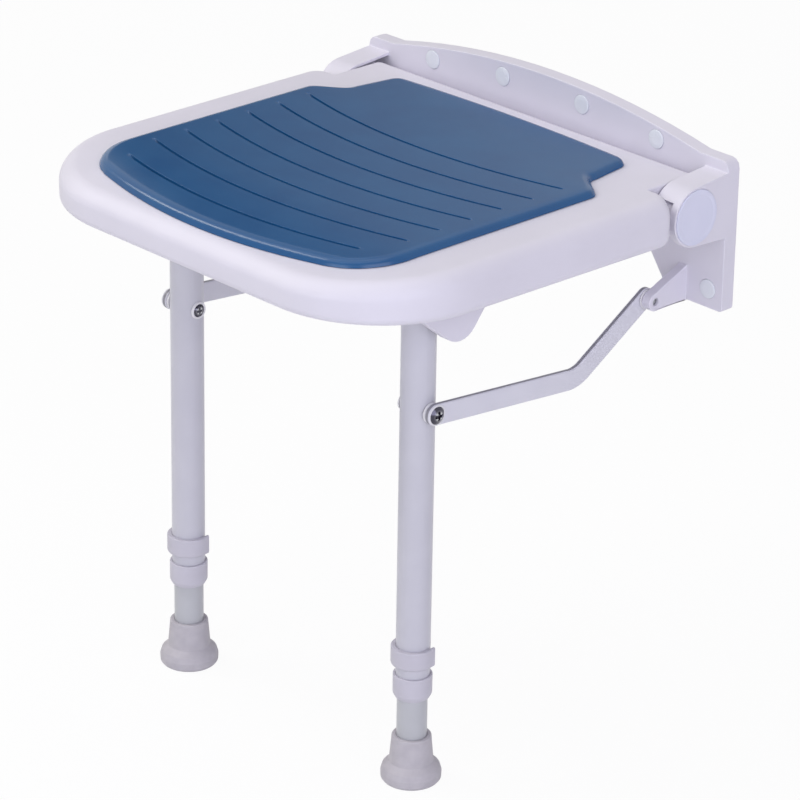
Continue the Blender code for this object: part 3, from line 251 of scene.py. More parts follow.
# Polypropylene from a polished tool: a bluer white and glossier than the bracket.
cap_plastic = finish(
    "moulded_cap_polypropylene", shade="#DFE2E9", light="#E3E6EC", cloud=20 * mm, grain=0.8 * mm,
    depth=0.006 * mm, gloss=(0.24, 0.3), constants={"IOR": 1.49})
cap_profile = rounded((
    (0.0, plate_thick - stem_depth, 0.0),
    (stem_radius, plate_thick - stem_depth, 0.4 * mm),
    (stem_radius, plate_thick - cap_sunk, 0.0),
    (cap_radius, plate_thick - cap_sunk, 0.1 * mm),
    (cap_radius, plate_thick + cap_rim, 0.6 * mm),
    (cap_flat, plate_thick + cap_dome - 0.05 * mm, 2 * mm),
    (0.0, plate_thick + cap_dome, 0.0),
))
for number, (x, z) in enumerate(cap_places, 1):
    cap = turned(f"screw_cover_{number}", cap_profile, (x * mm, 0.0, z * mm), (0, -1, 0))
    dress(cap, cap_plastic, "wall_bracket", "cap_plastic", f"screw_cap_{number}")


# Hinge: a steel pin in each ear carries the seat in a nylon bush, and a round ABS cover is pressed
# into the ear over the pin's head. Only the cover shows; it is slightly dished inside a rounded rim.
hinge_out = 50 * mm
ear_face = 213.5 * mm
cover_radius = 23.65 * mm
cover_sunk = 1.4 * mm
rim_rise = 0.8 * mm
rim_width = 2.4 * mm
dish_radius = cover_radius - 4.2 * mm
dish_rise = 0.45 * mm
middle_rise = 0.6 * mm
# Zinc-plated steel: grey, with the faint cloud of the plating bath.
plated_steel = finish(
    "zinc_plated_steel", shade="#9A9CA0", light="#B6B8BC", cloud=4 * mm, grain=0.9 * mm,
    depth=0.01 * mm, gloss=(0.28, 0.45), constants={"Metallic": 1.0})
# Natural nylon, moulded: a slightly milky white.
milky_nylon = finish(
    "moulded_nylon", shade="#E0DFE2", light="#E8E7EA", cloud=12 * mm, grain=0.6 * mm,
    depth=0.008 * mm, gloss=(0.36, 0.46), constants={"IOR": 1.53})
# The covers come from another tool, in a bluer batch of the same ABS.
cover_abs = finish(
    "moulded_blue_white_abs", shade="#D5D6E9", light="#D9DAEC", cloud=30 * mm, grain=0.7 * mm,
    depth=0.012 * mm, gloss=(0.4, 0.48), constants={"IOR": 1.53})
cover_profile = rounded((
    (0.0, ear_face - cover_sunk, 0.0),
    (cover_radius, ear_face - cover_sunk, 0.0),
    (cover_radius, ear_face + rim_rise, 0.7 * mm),
    (cover_radius - rim_width, ear_face + rim_rise, 1.2 * mm),
    (dish_radius, ear_face + dish_rise, 2.0 * mm),
    (0.0, ear_face + middle_rise, 0.0),
))
sides = (("left", -1), ("right", 1))
for label, side in sides:
    cover = turned(f"hinge_cover_{label}", cover_profile, (0.0, -hinge_out, 0.0), (side, 0, 0),
                   segments=96)
    dress(cover, cover_abs, "wall_bracket", "white_plastic", f"hinge_cap_{label}")
    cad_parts[f"hinge_pin_{label}"].material_slots[0].material = plated_steel
    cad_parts[f"hinge_bush_{label}"].material_slots[0].material = milky_nylon


# Seat board: a hollow ABS moulding with a full round edge, a tongue between the ears and a front that
# falls away like a waterfall. Its lower rim rises a little towards the front, and two barrels at its
# rear turn on the hinge pins.
seat_half = 218 * mm
seat_reach = 416 * mm
seat_rear = 16 * mm
seat_top = 24 * mm
seat_bottom = -17.5 * mm
seat_corner = 105 * mm
top_round = 15.5 * mm
low_round = 11 * mm
rim_inset = 24 * mm
rail_end = 80 * mm
rail_corner = 11 * mm
tongue_half = 186.8 * mm
tongue_round = 2 * mm
tongue_wall = 10 * mm
board_skin = 5 * mm
hollow_round = 10 * mm
fall_run = 106 * mm
fall_drop = 6 * mm
under_rise = 4.5 * mm
barrel_radius = 21.5 * mm
barrel_in = 165.5 * mm
barrel_out = 205.5 * mm
bore_radius = 7.6 * mm
bore_end = 169.5 * mm


def waterfall(y):
    """How far the board's top has fallen at a distance from the wall: a parabola over the front."""
    return fall_drop * (np.maximum(0.0, -y - seat_reach + fall_run) / fall_run) ** 2


def edge_inset(z, low, top):
    """How far a round edge draws the outline in at each height: two quarter circles, low and top."""
    below = np.clip(seat_bottom + low - z, 0.0, low)
    above = np.clip(z - seat_top + top, 0.0, top)
    return low - np.sqrt(low ** 2 - below ** 2) + top - np.sqrt(top ** 2 - above ** 2)


def board_plan(side_in, tongue_in, rear_in):
    """Top view of the board, drawn in at its sides, tongue and rear, as a closed line."""
    half = seat_half - side_in
    tongue = tongue_half - tongue_in
    end = -rail_end - tongue_in
    sweep = max(seat_corner - side_in, rail_corner)
    right_side = (
        (half, side_in - seat_reach, sweep),
        (half, end, rail_corner),
        (tongue, end, tongue_round),
        (tongue, -seat_rear - rear_in, tongue_round),
    )
    left_side = tuple((-x, y, radius) for x, y, radius in reversed(right_side))
    return rounded(right_side + left_side, closed=True, arc=25)


def ring_at(plan, z):
    """A top-view line lifted to one height."""
    return np.column_stack((plan, np.full(len(plan), z)))


def board_rows():
    """Rings over the board: top from its middle outwards, round edge, rim, and hollow to the middle.
    Each ring is the plan drawn in by the edge's inset at its height; the top falls by the waterfall,
    and the rim rises with the share of the way to the front."""
    quarter = np.linspace(0, np.pi / 2, 15)
    rise = np.concatenate((seat_top - top_round * (1 - np.cos(quarter)),
                           seat_bottom + low_round * (1 - np.sin(quarter))))
    sides_in = edge_inset(rise, low_round, top_round)
    tongues_in = edge_inset(rise, tongue_round, tongue_round)
    turn_in = hollow_round * (1 - np.cos(quarter[::2]))
    roof = seat_top - board_skin
    hollow_rise = np.concatenate(((seat_bottom,), roof - hollow_round * (1 - np.sin(quarter[::2]))))
    hollow_in = np.concatenate(((0.0,), turn_in))
    rings = [ring_at(board_plan(a, b, a), z) for a, b, z in zip(sides_in, tongues_in, rise)]
    rings += [ring_at(board_plan(rim_inset + a, tongue_wall + a, rim_inset + a), z)
              for a, z in zip(hollow_in, hollow_rise)]
    middle = np.array((0.0, -0.5 * seat_reach, 0.0))
    cover_shares = (0.0, 0.25, 0.5, 0.65, 0.75, 0.82, 0.88, 0.92, 0.95, 0.98)
    ceiling_shares = (0.7, 0.35, 0.0)
    cover = [middle + (rings[0] - middle) * (share, share, 1) for share in cover_shares]
    ceiling = [middle + (rings[-1] - middle) * (share, share, 1) for share in ceiling_shares]
    rows = np.array(cover + rings + ceiling)
    forward_share = np.clip((-rows[..., 1] - rail_end) / (seat_reach - rail_end), 0.0, 1.0)
    low_share = np.clip(rows[..., 2] / seat_bottom, 0.0, 1.0)
    top_share = np.clip(rows[..., 2] / roof, 0.0, 1.0)
    rows[..., 2] += low_share * under_rise * forward_share - top_share * waterfall(rows[..., 1])
    return rows


rows = board_rows()
board = surface("seat_board", rows, grid_faces(len(rows), rows.shape[1]), sharp=50)
dress(board, white_abs, "seat", "white_plastic", "seat_shell")
barrel_profile = rounded((
    (0.0, barrel_in, 0.0),
    (barrel_radius, barrel_in, 1 * mm),
    (barrel_radius, barrel_out, 1 * mm),
    (bore_radius, barrel_out, 0.5 * mm),
    (bore_radius, bore_end, 0.0),
    (0.0, bore_end, 0.0),
))
for label, side in sides:
    barrel = turned(f"hinge_barrel_{label}", barrel_profile, (0.0, -hinge_out, 0.0), (side, 0, 0),
                    segments=72)
    dress(barrel, white_abs, "seat", "white_plastic")


# Underframe: a flat ABS tray screwed into the board's hollow from below, with two pairs of lugs that
# carry the leg pins. Six pan-head screws hold it.
def cross_recess(half_width, reach, depth):
    """A cross-shaped dip: two bars across each other, each with sloped sides and ends."""
    slope_share = 0.6
    slope = half_width * slope_share

    def dip(p, q):
        def bar(a, b):
            wide = np.clip((half_width + slope - np.abs(a)) / slope, 0, 1)
            long = np.clip((reach + slope - np.abs(b)) / slope, 0, 1)
            return wide * long
        return depth * np.maximum(bar(p, q), bar(q, p))
    return dip


def head_profile(shank_radius, shank_end, seat_at, head_radius, head_height):
    """Half section of a pan-head screw, from the shank's end to the middle of its domed head: the dome
    falls with the square of the distance from its middle."""
    flank = head_height * 0.75
    flank_round = head_height * 0.45
    lower = rounded((
        (0.0, shank_end, 0.0),
        (shank_radius, shank_end, 0.3 * mm),
        (shank_radius, seat_at, 0.0),
        (head_radius, seat_at, 0.1 * mm),
        (head_radius, seat_at + flank, flank_round),
    ))[:-1]
    shoulder = lower[-1]
    share = np.linspace(1, 0, 22)[1:]
    dome = shoulder[1] + (seat_at + head_height - shoulder[1]) * (1 - share ** 2)
    return np.vstack((lower, np.column_stack((shoulder[0] * share, dome))))


tray = soft_copy("seat_underframe", radius=1.0 * mm)
dress(tray, white_abs, "seat", "white_plastic", "seat_underframe")
tray_bottom = -13.3 * mm
# X and Y of the right-hand screws in millimetres; the left-hand ones mirror them.
screw_places = ((60, -90), (60, -350), (185, -190))
screw_profile = head_profile(
    shank_radius=2 * mm, shank_end=-14 * mm, seat_at=0.3 * mm, head_radius=4 * mm, head_height=2.2 * mm)
screw_recess = cross_recess(half_width=0.5 * mm, reach=1.8 * mm, depth=1.2 * mm)
recess_reach = 1.6 * mm
number = 0
for x, y in screw_places:
    for label, side in sides:
        number += 1
        screw = turned(f"tray_screw_{number}", screw_profile, (side * x * mm, y * mm, tray_bottom),
                       (0, 0, -1), segments=40, sink=(screw_recess, recess_reach))
        dress(screw, plated_steel, "seat", "steel", f"frame_screw_{number}")


# Seat pad: a soft EVA pad moulded to the board's shape, with seven drainage grooves that bow towards
# the front, a stepped rear and a bevelled edge. It is bonded to the board's top.
pad_half = 171.5 * mm
pad_rear_half = 139 * mm
pad_neck_half = 144.4 * mm
pad_rear = 46 * mm
pad_front = 401.5 * mm
pad_thick = 6 * mm
pad_crown = 0.8 * mm
pad_edge = 5.5 * mm
shoulder_width = 4 * mm
shoulder_drop = 0.5 * mm
pad_draw_in = 0.8 * mm
bevel_start = 0.6 * pad_edge
bevel_drop = 0.7 * mm
bevel_round = 6.5 * mm
pad_foot = 0.25 * mm
foot_round = 0.2 * mm
pad_rear_corner = 14 * mm
pad_front_corner = 55 * mm
step_start = 97.4 * mm
step_length = 32.3 * mm
step_ease = 1.29
bow_length = 38 * mm
pad_bow = 32 * mm
rear_bow = -6 * mm
groove_first = 165 * mm
groove_pitch = 34.2 * mm
groove_count = 7
groove_half = 1.6 * mm
groove_wall = 0.6 * mm
groove_depth = 2.4 * mm
groove_bow = 28 * mm
groove_end = 0.905
front_groove_end = 0.835
groove_fade = 0.035
pad_gap = 0.3 * mm


def pad_rows():
    """Rows of the pad from rear to front: the middle's Y, half the width and the bow of each.
    A row at X lies bow times (X over the pad's half width) squared from its middle."""
    rear_half = pad_rear_half - pad_edge
    neck_half = pad_neck_half - pad_edge
    rear_radius = pad_rear_corner - pad_edge
    rear_edge = rear_bow * (rear_half / pad_half) ** 2 - pad_rear - pad_edge
    corner = np.radians(np.linspace(80, 0, 9))
    corner_half = rear_half - rear_radius * (1 - np.cos(corner))
    corner_y = rear_edge - rear_radius * (1 - np.sin(corner))
    tongue_y = np.linspace(rear_edge - rear_radius, -step_start, 9)[1:-1]
    along = np.linspace(0, bow_length, 36)
    spread = (1 - np.cos(np.pi * np.minimum(1.0, along / step_length) ** step_ease)) / 2
    ease = along / bow_length
    ease = ease ** 2 * (3 - 2 * ease)
    half = np.concatenate((corner_half, np.linspace(rear_half, neck_half, len(tongue_y) + 2)[1:-1],
                           neck_half + (pad_half - pad_neck_half) * spread))
    edge_y = np.concatenate((corner_y, tongue_y, -step_start - along))
    tongue_bow = np.full(len(half) - len(along), rear_bow)
    bow = np.concatenate((tongue_bow, rear_bow + (groove_bow - rear_bow) * ease))
    middle = edge_y - bow * (half / pad_half) ** 2
    full = pad_half - pad_edge
    radius = pad_front_corner - pad_edge
    last = math.radians(75)
    last_half = full - radius + radius * math.cos(last)
    turn_y = pad_edge - pad_front + pad_bow * (last_half / pad_half) ** 2 + radius * math.sin(last)
    # Rows follow each groove: a lip, the wall in small steps, the bottom, the other wall and lip, and
    # the land up to the next groove.
    wall = groove_half - groove_wall * np.array((0, 0.1, 0.22, 0.36, 0.5, 0.64, 0.78, 0.9, 1))
    land = np.linspace(groove_half, groove_pitch - groove_half, 13)[1:-1]
    lip = groove_half + 0.1 * mm
    one_groove = np.concatenate(((lip,), wall, (0.0,), -wall[::-1], (-lip,), -land))
    lines = -groove_first - groove_pitch * np.arange(groove_count)
    grooved = (lines[:, None] + one_groove).ravel()[:-len(land)]
    lead = np.linspace(middle[-1], grooved[0], 4)[1:-1]
    front = np.linspace(grooved[-1], pad_edge - pad_front, 20)[1:]
    main = np.concatenate((lead, grooved, front))
    forward = np.clip((main - grooved[-1]) / (front[-1] - grooved[-1]), 0.0, 1.0)
    main_bow = groove_bow + (pad_bow - groove_bow) * forward ** 2 * (3 - 2 * forward)
    # The corner's circle gives the half width at the edge's Y, which the bow moves with that width, so
    # the two are worked out in turn until they agree.
    reach = np.full(len(main), full)
    for _ in range(30):
        past = np.clip(turn_y - main - main_bow * (reach / pad_half) ** 2, 0.0, radius)
        reach = full - radius + np.sqrt(radius ** 2 - past ** 2)
    return np.concatenate((middle, main)), np.concatenate((half, reach)), np.concatenate((bow, main_bow))


def groove_dip(x, y, share):
    """Depth of the grooves: a narrow slot with steep walls along each bowed line, which runs out at
    both ends. Walls and ends follow a smooth step, three times the square less twice the cube."""
    line = -groove_first - y + groove_bow * (x / pad_half) ** 2
    number = np.clip(np.round(line / groove_pitch), 0, groove_count - 1)
    near = np.abs(line - number * groove_pitch)
    across = np.clip((groove_half - near) / groove_wall, 0, 1)
    across = across ** 2 * (3 - 2 * across)
    stop = np.where(number == groove_count - 1, front_groove_end, groove_end)
    ends = np.clip((stop - np.abs(share)) / groove_fade + 0.5, 0, 1)
    return groove_depth * across * ends ** 2 * (3 - 2 * ends)


def make_pad():
    """A crowned and grooved top, a bevelled edge carried round its border, and a flat underside. The
    crown falls with the square of the share of the half width, and the border by the shoulder."""
    middle, half, bow = pad_rows()
    # Columns lie closer together towards both sides, where the grooves run out.
    crowding = 0.65
    even = np.linspace(-1, 1, 131)
    share = (1 - crowding) * even + crowding * (1.5 * even - 0.5 * even ** 3)
    x = half[:, None] * share
    y = middle[:, None] + bow[:, None] * (x / pad_half) ** 2
    z = pad_thick + pad_crown * (1 - share ** 2) - groove_dip(x, y, share)
    past_ends = np.minimum(middle[0] - middle, middle - middle[-1])[:, None]
    inside = np.minimum(half[:, None] - np.abs(x), past_ends)
    z -= shoulder_drop * np.clip(1 - inside / shoulder_width, 0.0, 1.0) ** 2
    top = np.stack((x, y, z), -1)
    index = np.arange(x.size).reshape(x.shape)
    loop = np.concatenate((index[0], index[1:-1, -1], index[-1, ::-1], index[-2:0:-1, 0]))
    edge = top.reshape(-1, 3)[loop]
    run = np.roll(edge, -1, 0) - np.roll(edge, 1, 0)
    outward = np.column_stack((-run[:, 1], run[:, 0], np.zeros(len(run))))
    outward /= np.linalg.norm(outward, axis=1)[:, None]
    profile = rounded((
        (0.0, pad_thick, 0.0),
        (bevel_start, pad_thick - bevel_drop, bevel_round),
        (pad_edge, pad_foot, foot_round),
        (pad_edge - pad_draw_in, 0.0, 0.0),
    ))[1:]
    bands = edge + outward * profile[:, :1, None]
    bands[..., 2] = profile[:, 1:] * edge[:, 2] / pad_thick
    points = np.concatenate((top.reshape(-1, 3), bands.reshape(-1, 3)))
    points[:, 2] += seat_top + pad_gap - waterfall(points[:, 1])
    row, column = np.meshgrid(np.arange(len(middle) - 1), np.arange(len(share) - 1), indexing="ij")
    here = row * len(share) + column
    below = here + len(share)
    faces = np.stack((here, here + 1, below + 1, below), -1).reshape(-1, 4).tolist()
    count = len(loop)
    ring = np.arange(count)
    beside = np.roll(ring, -1)
    starts = [loop] + [x.size + count * i + ring for i in range(len(profile))]
    for upper, lower in zip(starts, starts[1:]):
        faces += np.stack((upper[ring], upper[beside], lower[beside], lower[ring]), -1).tolist()
    base = starts[-1]
    columns = len(share)
    right_side = np.arange(columns - 1, columns - 1 + len(middle))
    left_side = np.concatenate(((0,), ring[::-1][:len(middle) - 1]))
    faces.append(base[np.concatenate((ring[:columns], right_side[1:2], left_side[1:2]))].tolist())
    inner = np.arange(1, len(middle) - 2)
    faces += np.stack((base[left_side[inner]], base[right_side[inner]],
                       base[right_side[inner + 1]], base[left_side[inner + 1]]), -1).tolist()
    last_row = ring[right_side[-1]:right_side[-1] + columns]
    faces.append(base[np.concatenate((left_side[-2:-1], right_side[-2:-1], last_row))].tolist())
    return surface("blue_pad", points, faces, sharp=60)


# Closed-cell EVA with a moulded skin: deep blue, satin, with a fine pebble that is really about
# 0.2 mm and is drawn at 0.9 mm so that it shows.
eva_skin = finish(
    "moulded_blue_eva", shade="#164E80", light="#1A5485", cloud=45 * mm, grain=0.9 * mm,
    depth=0.016 * mm, gloss=(0.18, 0.24), constants={"IOR": 1.49, "Specular IOR Level": 0.38})
pad = make_pad()
dress(pad, eva_skin, "seat", "blue_pad", "seat_pad")


# Link arms: flat bars with round ends, bent once, cut from 5 mm aluminium plate with a white powder
# coat. Each turns on a rivet in its gusset and on the bolt through its leg.
def slab(name, outline, low, high, soft, world, steps=5):
    """An outline raised from low to high with both rims rounded over: each rim ring is the outline
    drawn in along its normals by what a quarter circle of the soft radius has left at that height."""
    run = np.roll(outline, -1, 0) - np.roll(outline, 1, 0)
    inward = np.column_stack((-run[:, 1], run[:, 0]))
    inward /= np.linalg.norm(inward, axis=1)[:, None]
    after = np.roll(outline, -1, 0)
    inward *= np.sign((outline[:, 0] * after[:, 1] - outline[:, 1] * after[:, 0]).sum())
    turn_in = np.linspace(0, np.pi / 2, steps)
    inset = soft * (1 - np.sin(turn_in))
    lift = soft * (1 - np.cos(turn_in))
    insets = np.concatenate((inset, inset[::-1]))
    heights = np.concatenate((low + lift, (high - lift)[::-1]))
    rings = outline + inward * insets[:, None, None]
    level_up = np.broadcast_to(heights[:, None], rings.shape[:2])
    points = np.stack(world(rings[..., 0], rings[..., 1], level_up), -1)
    count = len(outline)
    faces = grid_faces(len(insets), count)
    faces.append(list(range(count)))
    faces.append(list(range(count * (len(insets) - 1), count * len(insets))))
    return surface(name, points, faces)


link_width = 18 * mm
link_in = 157.6 * mm
link_out = 162.6 * mm
# Y and Z of the pivots. Both ends of a link lie as far below the hinge and below the leg's pin, so
# that leg, link, seat and bracket make a parallelogram.
link_drop = 86.5 * mm
wall_pivot = np.array((-hinge_out, -link_drop))
link_bend = np.array((-129.0, -136.0)) * mm
leg_pivot = np.array((-289.0, -35.0)) * mm
bolt_pivot = leg_pivot - (0.0, link_drop)
bend_radius = 30 * mm


def link_line():
    """Side view of a link: a bent middle line, set off by half the width, with half-circle ends."""
    half = link_width / 2
    path = rounded(((*wall_pivot, 0.0), (*link_bend, bend_radius), (*bolt_pivot, 0.0)), arc=15)
    way = np.gradient(path, axis=0)
    way /= np.linalg.norm(way, axis=1)[:, None]
    beside = np.column_stack((-way[:, 1], way[:, 0])) * half
    angle = np.linspace(np.pi / 2, -np.pi / 2, 21)[1:-1]

    def end(centre, heading):
        bearing = math.atan2(heading[1], heading[0]) + angle
        return centre + half * np.column_stack((np.cos(bearing), np.sin(bearing)))
    far_side = (path - beside)[::-1]
    return np.concatenate((path + beside, end(path[-1], way[-1]), far_side, end(path[0], -way[0])))


def banded(material, low, high, stops):
    """Lay bands over a material's colour by the distance from the middle of the seat: each stop has a
    share of the way from low to high, a hex colour, and how much of the colour covers the finish."""
    tree = material.node_tree
    shader = tree.nodes["Principled BSDF"]
    finish_colour = shader.inputs["Base Color"].links[0].from_socket
    place = add_node(tree, "TexCoord").outputs["Object"]
    across = add_node(tree, "SeparateXYZ", links={"Vector": place}).outputs["X"]
    out = add_node(tree, "Math", {"operation": "ABSOLUTE"}, {"Value": across}).outputs["Value"]
    way = add_node(tree, "MapRange", {"From Min": low, "From Max": high}, {"Value": out})
    band = add_node(tree, "ValToRGB", links={"Fac": way.outputs["Result"]})
    for number, (share, code, cover) in enumerate(stops):
        points = band.color_ramp.elements
        point = points[number] if number < 2 else points.new(1.0)
        point.position = share
        point.color = (*linear(code)[:3], cover)
    laid = add_node(tree, "Mix", {"data_type": "RGBA"}, {"Factor": band.outputs["Alpha"]})
    # Several sockets of this node share a name, so its two colours and their mix go by number.
    under, over, mix = 6, 7, 2
    tree.links.new(finish_colour, laid.inputs[under])
    tree.links.new(band.outputs["Color"], laid.inputs[over])
    tree.links.new(laid.outputs[mix], shader.inputs["Base Color"])
    return material


def ring_profile(bore, radius, low, high, rounds):
    """Half section of a flat ring: its outer lower, outer upper and inner upper edges are rounded."""
    outer_low, outer_high, inner_high = rounds
    return rounded((
        (bore, low, 0.0),
        (radius, low, outer_low),
        (radius, high, outer_high),
        (bore, high, inner_high),
        (bore, low, 0.0),
    ))


running_gap = 0.3 * mm
washer_bore = 3.3 * mm
washer_radius = 8.5 * mm
washer_thick = 1.3 * mm
bar_round = 1.1 * mm
rivet_tail = 171 * mm
# The bar's narrow edge is painted a dull grey, darker than its coated faces: painted shade along its rims.
bar_white = "#D8D7E0"
edge_shade_grey = "#8C8B93"
coated_bar = finish(
    "coated_bar_with_painted_edge_shade", shade="#D3D2DC", light=bar_white, cloud=35 * mm, grain=2.2 * mm,
    depth=0.006 * mm, gloss=(0.3, 0.38), constants={"IOR": 1.5})
banded(coated_bar, link_in, link_out, (
    (0.16, bar_white, 0.0), (0.26, edge_shade_grey, 1.0), (0.74, edge_shade_grey, 1.0), (0.84, bar_white, 0.0)))
rivet_profile = head_profile(
    shank_radius=3 * mm, shank_end=-rivet_tail, seat_at=running_gap - link_in,
    head_radius=5.5 * mm, head_height=1.8 * mm)
washer_seat = link_out + running_gap
washer_profile = ring_profile(
    washer_bore, washer_radius, washer_seat, washer_seat + washer_thick, (0.4 * mm, 0.4 * mm, 0.2 * mm))
for label, side in sides:
    link = slab(f"link_bar_{label}", link_line(), link_in, link_out, bar_round,
                lambda a, b, c, side=side: (side * c, a, b))
    dress(link, coated_bar, f"link_{label}", "white_tube", f"link_arm_{label}")
    rivet = turned(f"gusset_rivet_{label}", rivet_profile, (0.0, *wall_pivot), (-side, 0, 0),
                   segments=40)
    dress(rivet, plated_steel, "wall_bracket", "steel", f"link_wall_pin_{label}")
    washer = turned(f"gusset_washer_{label}", washer_profile, (0.0, *wall_pivot), (side, 0, 0))
    dress(washer, milky_nylon, "wall_bracket", "nylon", f"link_wall_washer_{label}")


# Legs: powder-coated aluminium tubes that hang from the lugs, with a nylon plug and two spacers round
# the leg pin. A plated steel bolt with a dome nut joins each leg to its link over a thick washer, and
# a nylon ring lies round the head and the nut. The plating's dark and bright bands are painted
# reflections.
leg_x = 140.5 * mm
tube_radius = 14.3 * mm
tube_break = 0.3 * mm
bolt_tip = 124.5 * mm
bolt_seat = link_out + running_gap
bolt_crown = bolt_seat + 3.4 * mm
bolt_head = 7.4 * mm
nut_tip = 126 * mm
nut_seat = leg_x - tube_radius - running_gap
nut_crown = nut_seat - 2.6 * mm
nut_head = 5.6 * mm
ring_gap = 0.1 * mm
bolt_ring_radius = 8.7 * mm
bolt_ring_sunk = 0.1 * mm
bolt_ring_rise = 0.4 * mm
nut_ring_radius = 7.4 * mm
nut_ring_sunk = 0.5 * mm
nut_ring_rise = 1.2 * mm


def painted_reflection_plating(name, seat, crown, flank, shoulder):
    """Plated steel, mirror-like, with painted reflections: a dark painted reflection up to the flank's
    share of the head's height, a greyer one at the shoulder's share, and a painted highlight at the crown."""
    highlight_share = 0.9
    plating = finish(
        name, shade="#9A9BA2", light="#B4B5BB", cloud=3 * mm, grain=0.5 * mm,
        depth=0.004 * mm, gloss=(0.12, 0.2), constants={"Metallic": 1.0})
    stops = ((flank, "#4C4B56", 1.0), (shoulder, "#6A6972", 1.0), (highlight_share, "#D2D3D6", 1.0))
    return banded(plating, seat, crown, stops)


# Powder coat on aluminium: a hard white skin with the slight orange peel of the melted powder. Its white
# is drawn darker than the seat's, as painted shade on the legs.
powder_coat = finish(
    "white_powder_coat", shade="#C3C2CC", light="#C8C7D0", cloud=35 * mm, grain=2.2 * mm,
    depth=0.009 * mm, gloss=(0.26, 0.34), constants={"IOR": 1.5})
# The bands on the bolt and the nut are painted reflections, with a painted highlight at the crown.
bolt_plating = painted_reflection_plating("bolt_plating_painted_reflections", bolt_seat, bolt_crown, flank=0.5, shoulder=0.66)
nut_plating = painted_reflection_plating("nut_plating_painted_reflections", nut_seat, nut_crown, flank=0.45, shoulder=0.62)
bolt_profile = head_profile(
    shank_radius=3 * mm, shank_end=bolt_tip, seat_at=bolt_seat,
    head_radius=bolt_head, head_height=bolt_crown - bolt_seat)
bolt_recess = cross_recess(half_width=0.9 * mm, reach=3.4 * mm, depth=2.0 * mm)
bolt_recess_reach = 2.4 * mm
nut_profile = head_profile(
    shank_radius=2.8 * mm, shank_end=-nut_tip, seat_at=-nut_seat,
    head_radius=nut_head, head_height=nut_seat - nut_crown)
nut_recess = cross_recess(half_width=0.7 * mm, reach=2.6 * mm, depth=1.2 * mm)
nut_recess_reach = 1.7 * mm
bolt_ring_profile = ring_profile(
    bolt_head + ring_gap, bolt_ring_radius, link_out - bolt_ring_sunk, bolt_seat + bolt_ring_rise,
    (0.0, 0.4 * mm, 0.3 * mm))
nut_ring_profile = ring_profile(
    nut_head + ring_gap, nut_ring_radius, -nut_seat - nut_ring_sunk, -nut_seat + nut_ring_rise,
    (0.0, 0.6 * mm, 0.3 * mm))
thick_washer = ring_profile(
    washer_bore, washer_radius, leg_x + tube_radius + running_gap, link_in - running_gap,
    (0.6 * mm, 0.6 * mm, 0.0))
for label, side in sides:
    tube = soft_copy(f"leg_tube_{label}", tube_break)
    dress(tube, powder_coat, f"leg_{label}", "white_tube", f"leg_tube_{label}")
    bolt = turned(f"leg_bolt_{label}", bolt_profile, (0.0, *bolt_pivot), (side, 0, 0),
                  segments=72, sink=(bolt_recess, bolt_recess_reach))
    dress(bolt, bolt_plating, f"leg_{label}", "chrome", f"link_bolt_{label}")
    nut = turned(f"leg_nut_{label}", nut_profile, (0.0, *bolt_pivot), (-side, 0, 0),
                 segments=72, sink=(nut_recess, nut_recess_reach))
    dress(nut, nut_plating, f"leg_{label}", "chrome", f"link_nut_{label}")
    ring = turned(f"bolt_ring_{label}", bolt_ring_profile, (0.0, *bolt_pivot), (side, 0, 0))
    dress(ring, milky_nylon, f"leg_{label}", "nylon")
    ring = turned(f"nut_ring_{label}", nut_ring_profile, (0.0, *bolt_pivot), (-side, 0, 0))
    dress(ring, milky_nylon, f"leg_{label}", "nylon")
    washer = turned(f"leg_washer_{label}", thick_washer, (0.0, *bolt_pivot), (side, 0, 0))
    dress(washer, milky_nylon, f"leg_{label}", "nylon", f"link_leg_washer_{label}")
    for place in ("leg_plug", "leg_spacer_inner", "leg_spacer_outer"):
        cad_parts[f"{place}_{label}"].material_slots[0].material = milky_nylon
    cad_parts[f"leg_pivot_pin_{label}"].material_slots[0].material = plated_steel


# Leg ends: an ABS collar on the tube's lower end guides the sliding inner leg, and a spring clip above
# it locks the height with a pin. A rubber foot with a broad flange is pushed on the inner leg.
floor_level = -457 * mm
tube_fit = tube_radius + 0.05 * mm
collar_low = floor_level + 76.7 * mm
collar_high = 21.5 * mm
collar_bore = 13 * mm
collar_radius = 16.35 * mm
collar_lip = 2 * mm
collar_profile = rounded((
    (collar_bore, 0.0, 0.3 * mm),
    (collar_bore + 1 * mm, 0.0, 1.0 * mm),
    (collar_radius - 0.05 * mm, 4.2 * mm, 4.0 * mm),
    (collar_radius, collar_high, 0.9 * mm),
    (tube_fit, collar_high, 0.3 * mm),
    (tube_fit, collar_lip, 0.0),
    (collar_bore, collar_lip, 0.0),
    (collar_bore, 0.0, 0.0),
))
foot_high = 41.5 * mm
foot_bore = 12.75 * mm
sole_thick = 6 * mm
flange_radius = 25.4 * mm
sleeve_low = 18.5 * mm
sleeve_high = 16.4 * mm
foot_profile = rounded((
    (0.0, 0.0, 0.0),
    (flange_radius - 2.2 * mm, 0.0, 1.5 * mm),
    (flange_radius - 0.2 * mm, 2.6 * mm, 2.0 * mm),
    (flange_radius, 8.0 * mm, 3.0 * mm),
    (flange_radius - 1.5 * mm, 13.0 * mm, 2.2 * mm),
    (sleeve_low, 17.6 * mm, 1.2 * mm),
    (sleeve_high, foot_high, 1.4 * mm),
    (foot_bore, foot_high, 0.8 * mm),
    (foot_bore, sole_thick, 0.0),
    (0.0, sole_thick, 0.0),
))
# Thermoplastic rubber: matt, greyish white, with a dusty bloom, drawn darker as painted shade near the
# floor.
pale_rubber = finish(
    "moulded_pale_rubber", shade="#B4B0B7", light="#BDB9BF", cloud=9 * mm, grain=0.6 * mm,
    depth=0.02 * mm, gloss=(0.5, 0.62), constants={"IOR": 1.5})
clip_low = floor_level + 106.7 * mm
clip_high = 17 * mm
clip_thick = 4.1 * mm
clip_arm = 9 * mm
clip_taper = 0.45


